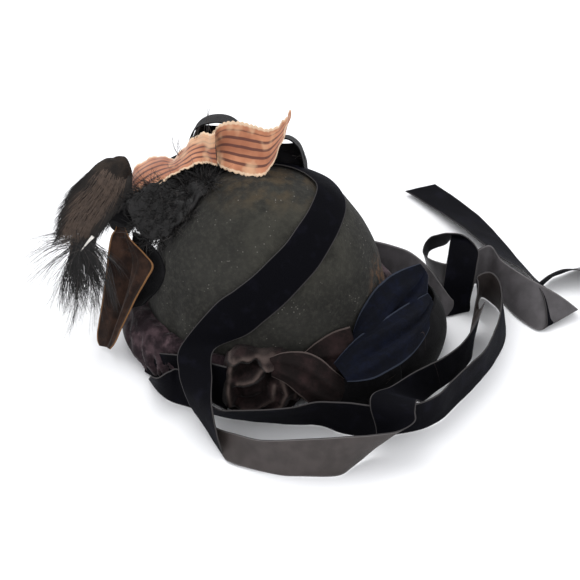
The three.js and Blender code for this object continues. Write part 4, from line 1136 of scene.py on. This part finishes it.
SILK_RIGHT = [
    (-0.4, 0.3, 1.08, 104, 48, 0.52),
    (-0.33, 0.27, 1.1, 92, 56, 0.78),
    (-0.2, 0.23, 1.1, 96, 52, 0.91),
    (-0.09, 0.18, 1.1, 94, 52, 0.88),
    (0.02, 0.13, 1.12, 86, 53, 0.72),
    (0.12, 0.08, 1.23, 76, 53, 0.46),
    (0.18, 0.05, 1.34, 69, 56, 0.24),
]
silk = Cloth("striped_silk", Roughness=0.5, Specular_IOR_Level=0.35, Sheen_Weight=0.2)
silk_u, silk_v = silk.strip()
silk_wave = silk_u + silk.speckle(60, 2) * 0.0012
stripe = (silk_wave * (2 * math.pi / STRIPE_EVERY)).sum("SINE").between(0.15, 0.7)
inner = silk_u.between(0.005, 0.007) * (1 - silk_u.between(SILK_WIDTH - 0.007, SILK_WIDTH - 0.005))
cream = (1 - silk_u.between(0.0016, 0.003)) + silk_u.between(SILK_WIDTH - 0.003, SILK_WIDTH - 0.0016)
silk_colour = silk.tint(silk.speckle(45, 3).between(0.3, 0.7), (0.3, 0.1, 0.045, 1), (0.5, 0.21, 0.105, 1))
silk_colour = silk.tint(stripe * inner * 0.92, silk_colour, (0.085, 0.02, 0.012, 1))
# Painted highlight: pale cream patches over the silk.
silk_painted_highlight = silk.speckle(38, 3, 0.6).between(0.5, 0.64) * 0.6
silk_colour = silk.tint(silk_painted_highlight, silk_colour, (0.66, 0.42, 0.25, 1))
silk_colour = silk.tint(cream * 0.9, silk_colour, (0.68, 0.5, 0.34, 1))
silk_weft = (silk_v * 7000.0).sum("SINE") * 0.4 + silk.speckle(250, 2)
striped_silk = silk.finish(silk_colour, height=silk_weft, distance=0.0003, strength=0.5)


def silk_piece(name, node, rows, cup):
    """A length of the silk through its rows, with its pinked edges."""
    sections = trim_sections(rows, SILK_WIDTH)
    edges = [[s[side] for s in sections] for side in range(3)]
    length = ribbon_length(sections)

    def shape(u, v):
        scallop = 0.0011 * abs(math.sin(math.pi * v * length / SCALLOP_EVERY))
        left, right = curve_point(edges[0], v), curve_point(edges[2], v)
        wide = (right - left).length
        s = u + (scallop / max(wide, 0.004)) * (2 * u - 1) * abs(2 * u - 1) ** 6
        run = curve_point(edges[1], v + 0.05) - curve_point(edges[1], v - 0.05)
        normal = (right - left).cross(run).normalized()
        p = left.lerp(right, s) + normal * (cup * wide * 4 * s * (1 - s))
        ripple = 0.0007 * math.sin(2 * math.pi * v * length / 0.012) * (2 * u - 1) ** 2
        return p + normal * (ripple + 0.0009 * lumps(p, 0.012, 11))

    piece = grid_piece(name, 36, 200, shape, [striped_silk], uv=lambda u, v: (u * SILK_WIDTH, v * length))
    thicken(piece, SILK_THICK)
    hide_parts(node)
    flat_size(piece, length)


silk_piece("silk_leaf", "silk_left", SILK_LEFT, -0.06)
silk_piece("silk_loop", "silk_right", SILK_RIGHT, 0.06)

# Black velvet loops behind the silk.
# Two loops of the tie's velvet stand up behind the silk ribbon on the far shoulder of the crown.
FAR_LOOP = [
    (-0.58, 0.52, 0.68, 90, -20, 0.9),
    (-0.63, 0.58, 0.9, 90, -20, 0.95),
    (-0.57, 0.62, 1.09, 88, -20, 1),
    (-0.4, 0.62, 1.15, 88, -20, 1),
    (-0.24, 0.62, 1.11, 88, -22, 1),
    (-0.17, 0.6, 0.97, 88, -24, 1),
    (-0.2, 0.58, 0.85, 88, -26, 0.9),
]
RIGHT_LOOP = [
    (0.02, 0.4, 0.95, 91, -22, 0.75),
    (0.06, 0.42, 1.05, 90, -24, 0.9),
    (0.15, 0.43, 1.1, 89, -26, 0.95),
    (0.25, 0.42, 1.06, 88, -24, 0.9),
    (0.3, 0.42, 0.96, 84, -26, 0.85),
    (0.31, 0.42, 0.9, 82, -28, 0.8),
]
bow_piece("black_tall_loop", "far_loop", "tie_velvet", FAR_LOOP, black_velvet, width=TIE_WIDTH)
bow_piece("black_small_loop", "right_loop", "tie_velvet", RIGHT_LOOP, black_velvet, width=TIE_WIDTH)

# Turns of the same velvet that fill the two loops.
INNER_FOLDS = {
    "black_inner_fold": [
        (-0.4, 0.58, 0.7, 0, 0, 1.1),
        (-0.4, 0.62, 0.85, 0, 0, 1.22),
        (-0.4, 0.64, 1.0, 0, 0, 1.15),
        (-0.4, 0.64, 1.11, 0, 0, 0.8),
    ],
    "black_right_fold": [
        (0.17, 0.41, 0.88, 0, 0, 0.7),
        (0.17, 0.42, 0.98, 0, 0, 0.75),
        (0.16, 0.43, 1.07, 0, 0, 0.5),
    ],
}
for name, rows in INNER_FOLDS.items():
    fold_rows = trim_sections(rows, TIE_WIDTH)
    inner = ribbon(name, fold_rows, TIE_WIDTH, [black_velvet], cup=0.1, slack=0.002, seed=5)
    flat_size(inner, ribbon_length(fold_rows))

# Loose hairs and threads.
# Single hairs stand up behind the silk, and brown sewing threads have come loose at the black loops.
THREADS = [
    # root, bend and tip as shares of the crown's sizes, thickness in millimetres, how many
    (-0.46, 0.37, 1.1, -0.48, 0.37, 1.25, -0.4, 0.37, 1.37, 0.4, 6),
    (-0.55, 0.37, 1.05, -0.55, 0.37, 1.15, -0.5, 0.37, 1.2, 0.4, 8),
    (-0.66, 0.37, 1.0, -0.72, 0.37, 1.08, -0.68, 0.37, 1.16, 0.5, 5),
    (0.2, 0.4, 0.98, 0.28, 0.4, 1.02, 0.31, 0.4, 0.96, 0.4, 14),
    (1.28, -0.98, 0.03, 1.26, -0.98, 0.4, 1.38, -0.98, 0.02, 0.6, 1),
    (0.86, -1.06, 0.04, 0.88, -1.08, 0.12, 1.0, -1.04, 0.15, 0.5, 2),
    (1.16, -0.78, 0.26, 1.24, -0.78, 0.42, 1.25, -0.78, 0.2, 0.5, 1),
]
THREAD_SPREAD = 0.0028
LOW_DOWN = 0.5  # threads with their root below this share of the crown's height are brown
thread_brown = hair_cloth("thread_brown", (0.035, 0.022, 0.018, 1))
loose = []
for *shares, thick, count in THREADS:
    places = [sized(*shares[:3]), sized(*shares[3:6]), sized(*shares[6:])]
    tone = 1 if shares[2] < LOW_DOWN else 0
    for i in range(count):
        spread = 0.0 if i == 0 else THREAD_SPREAD
        loose.append((strand(*(place + scatter(spread) for place in places)), thick / 1000, tone))
hair_piece("loose_threads", [grey_hair_and_painted_highlight, thread_brown], loose)
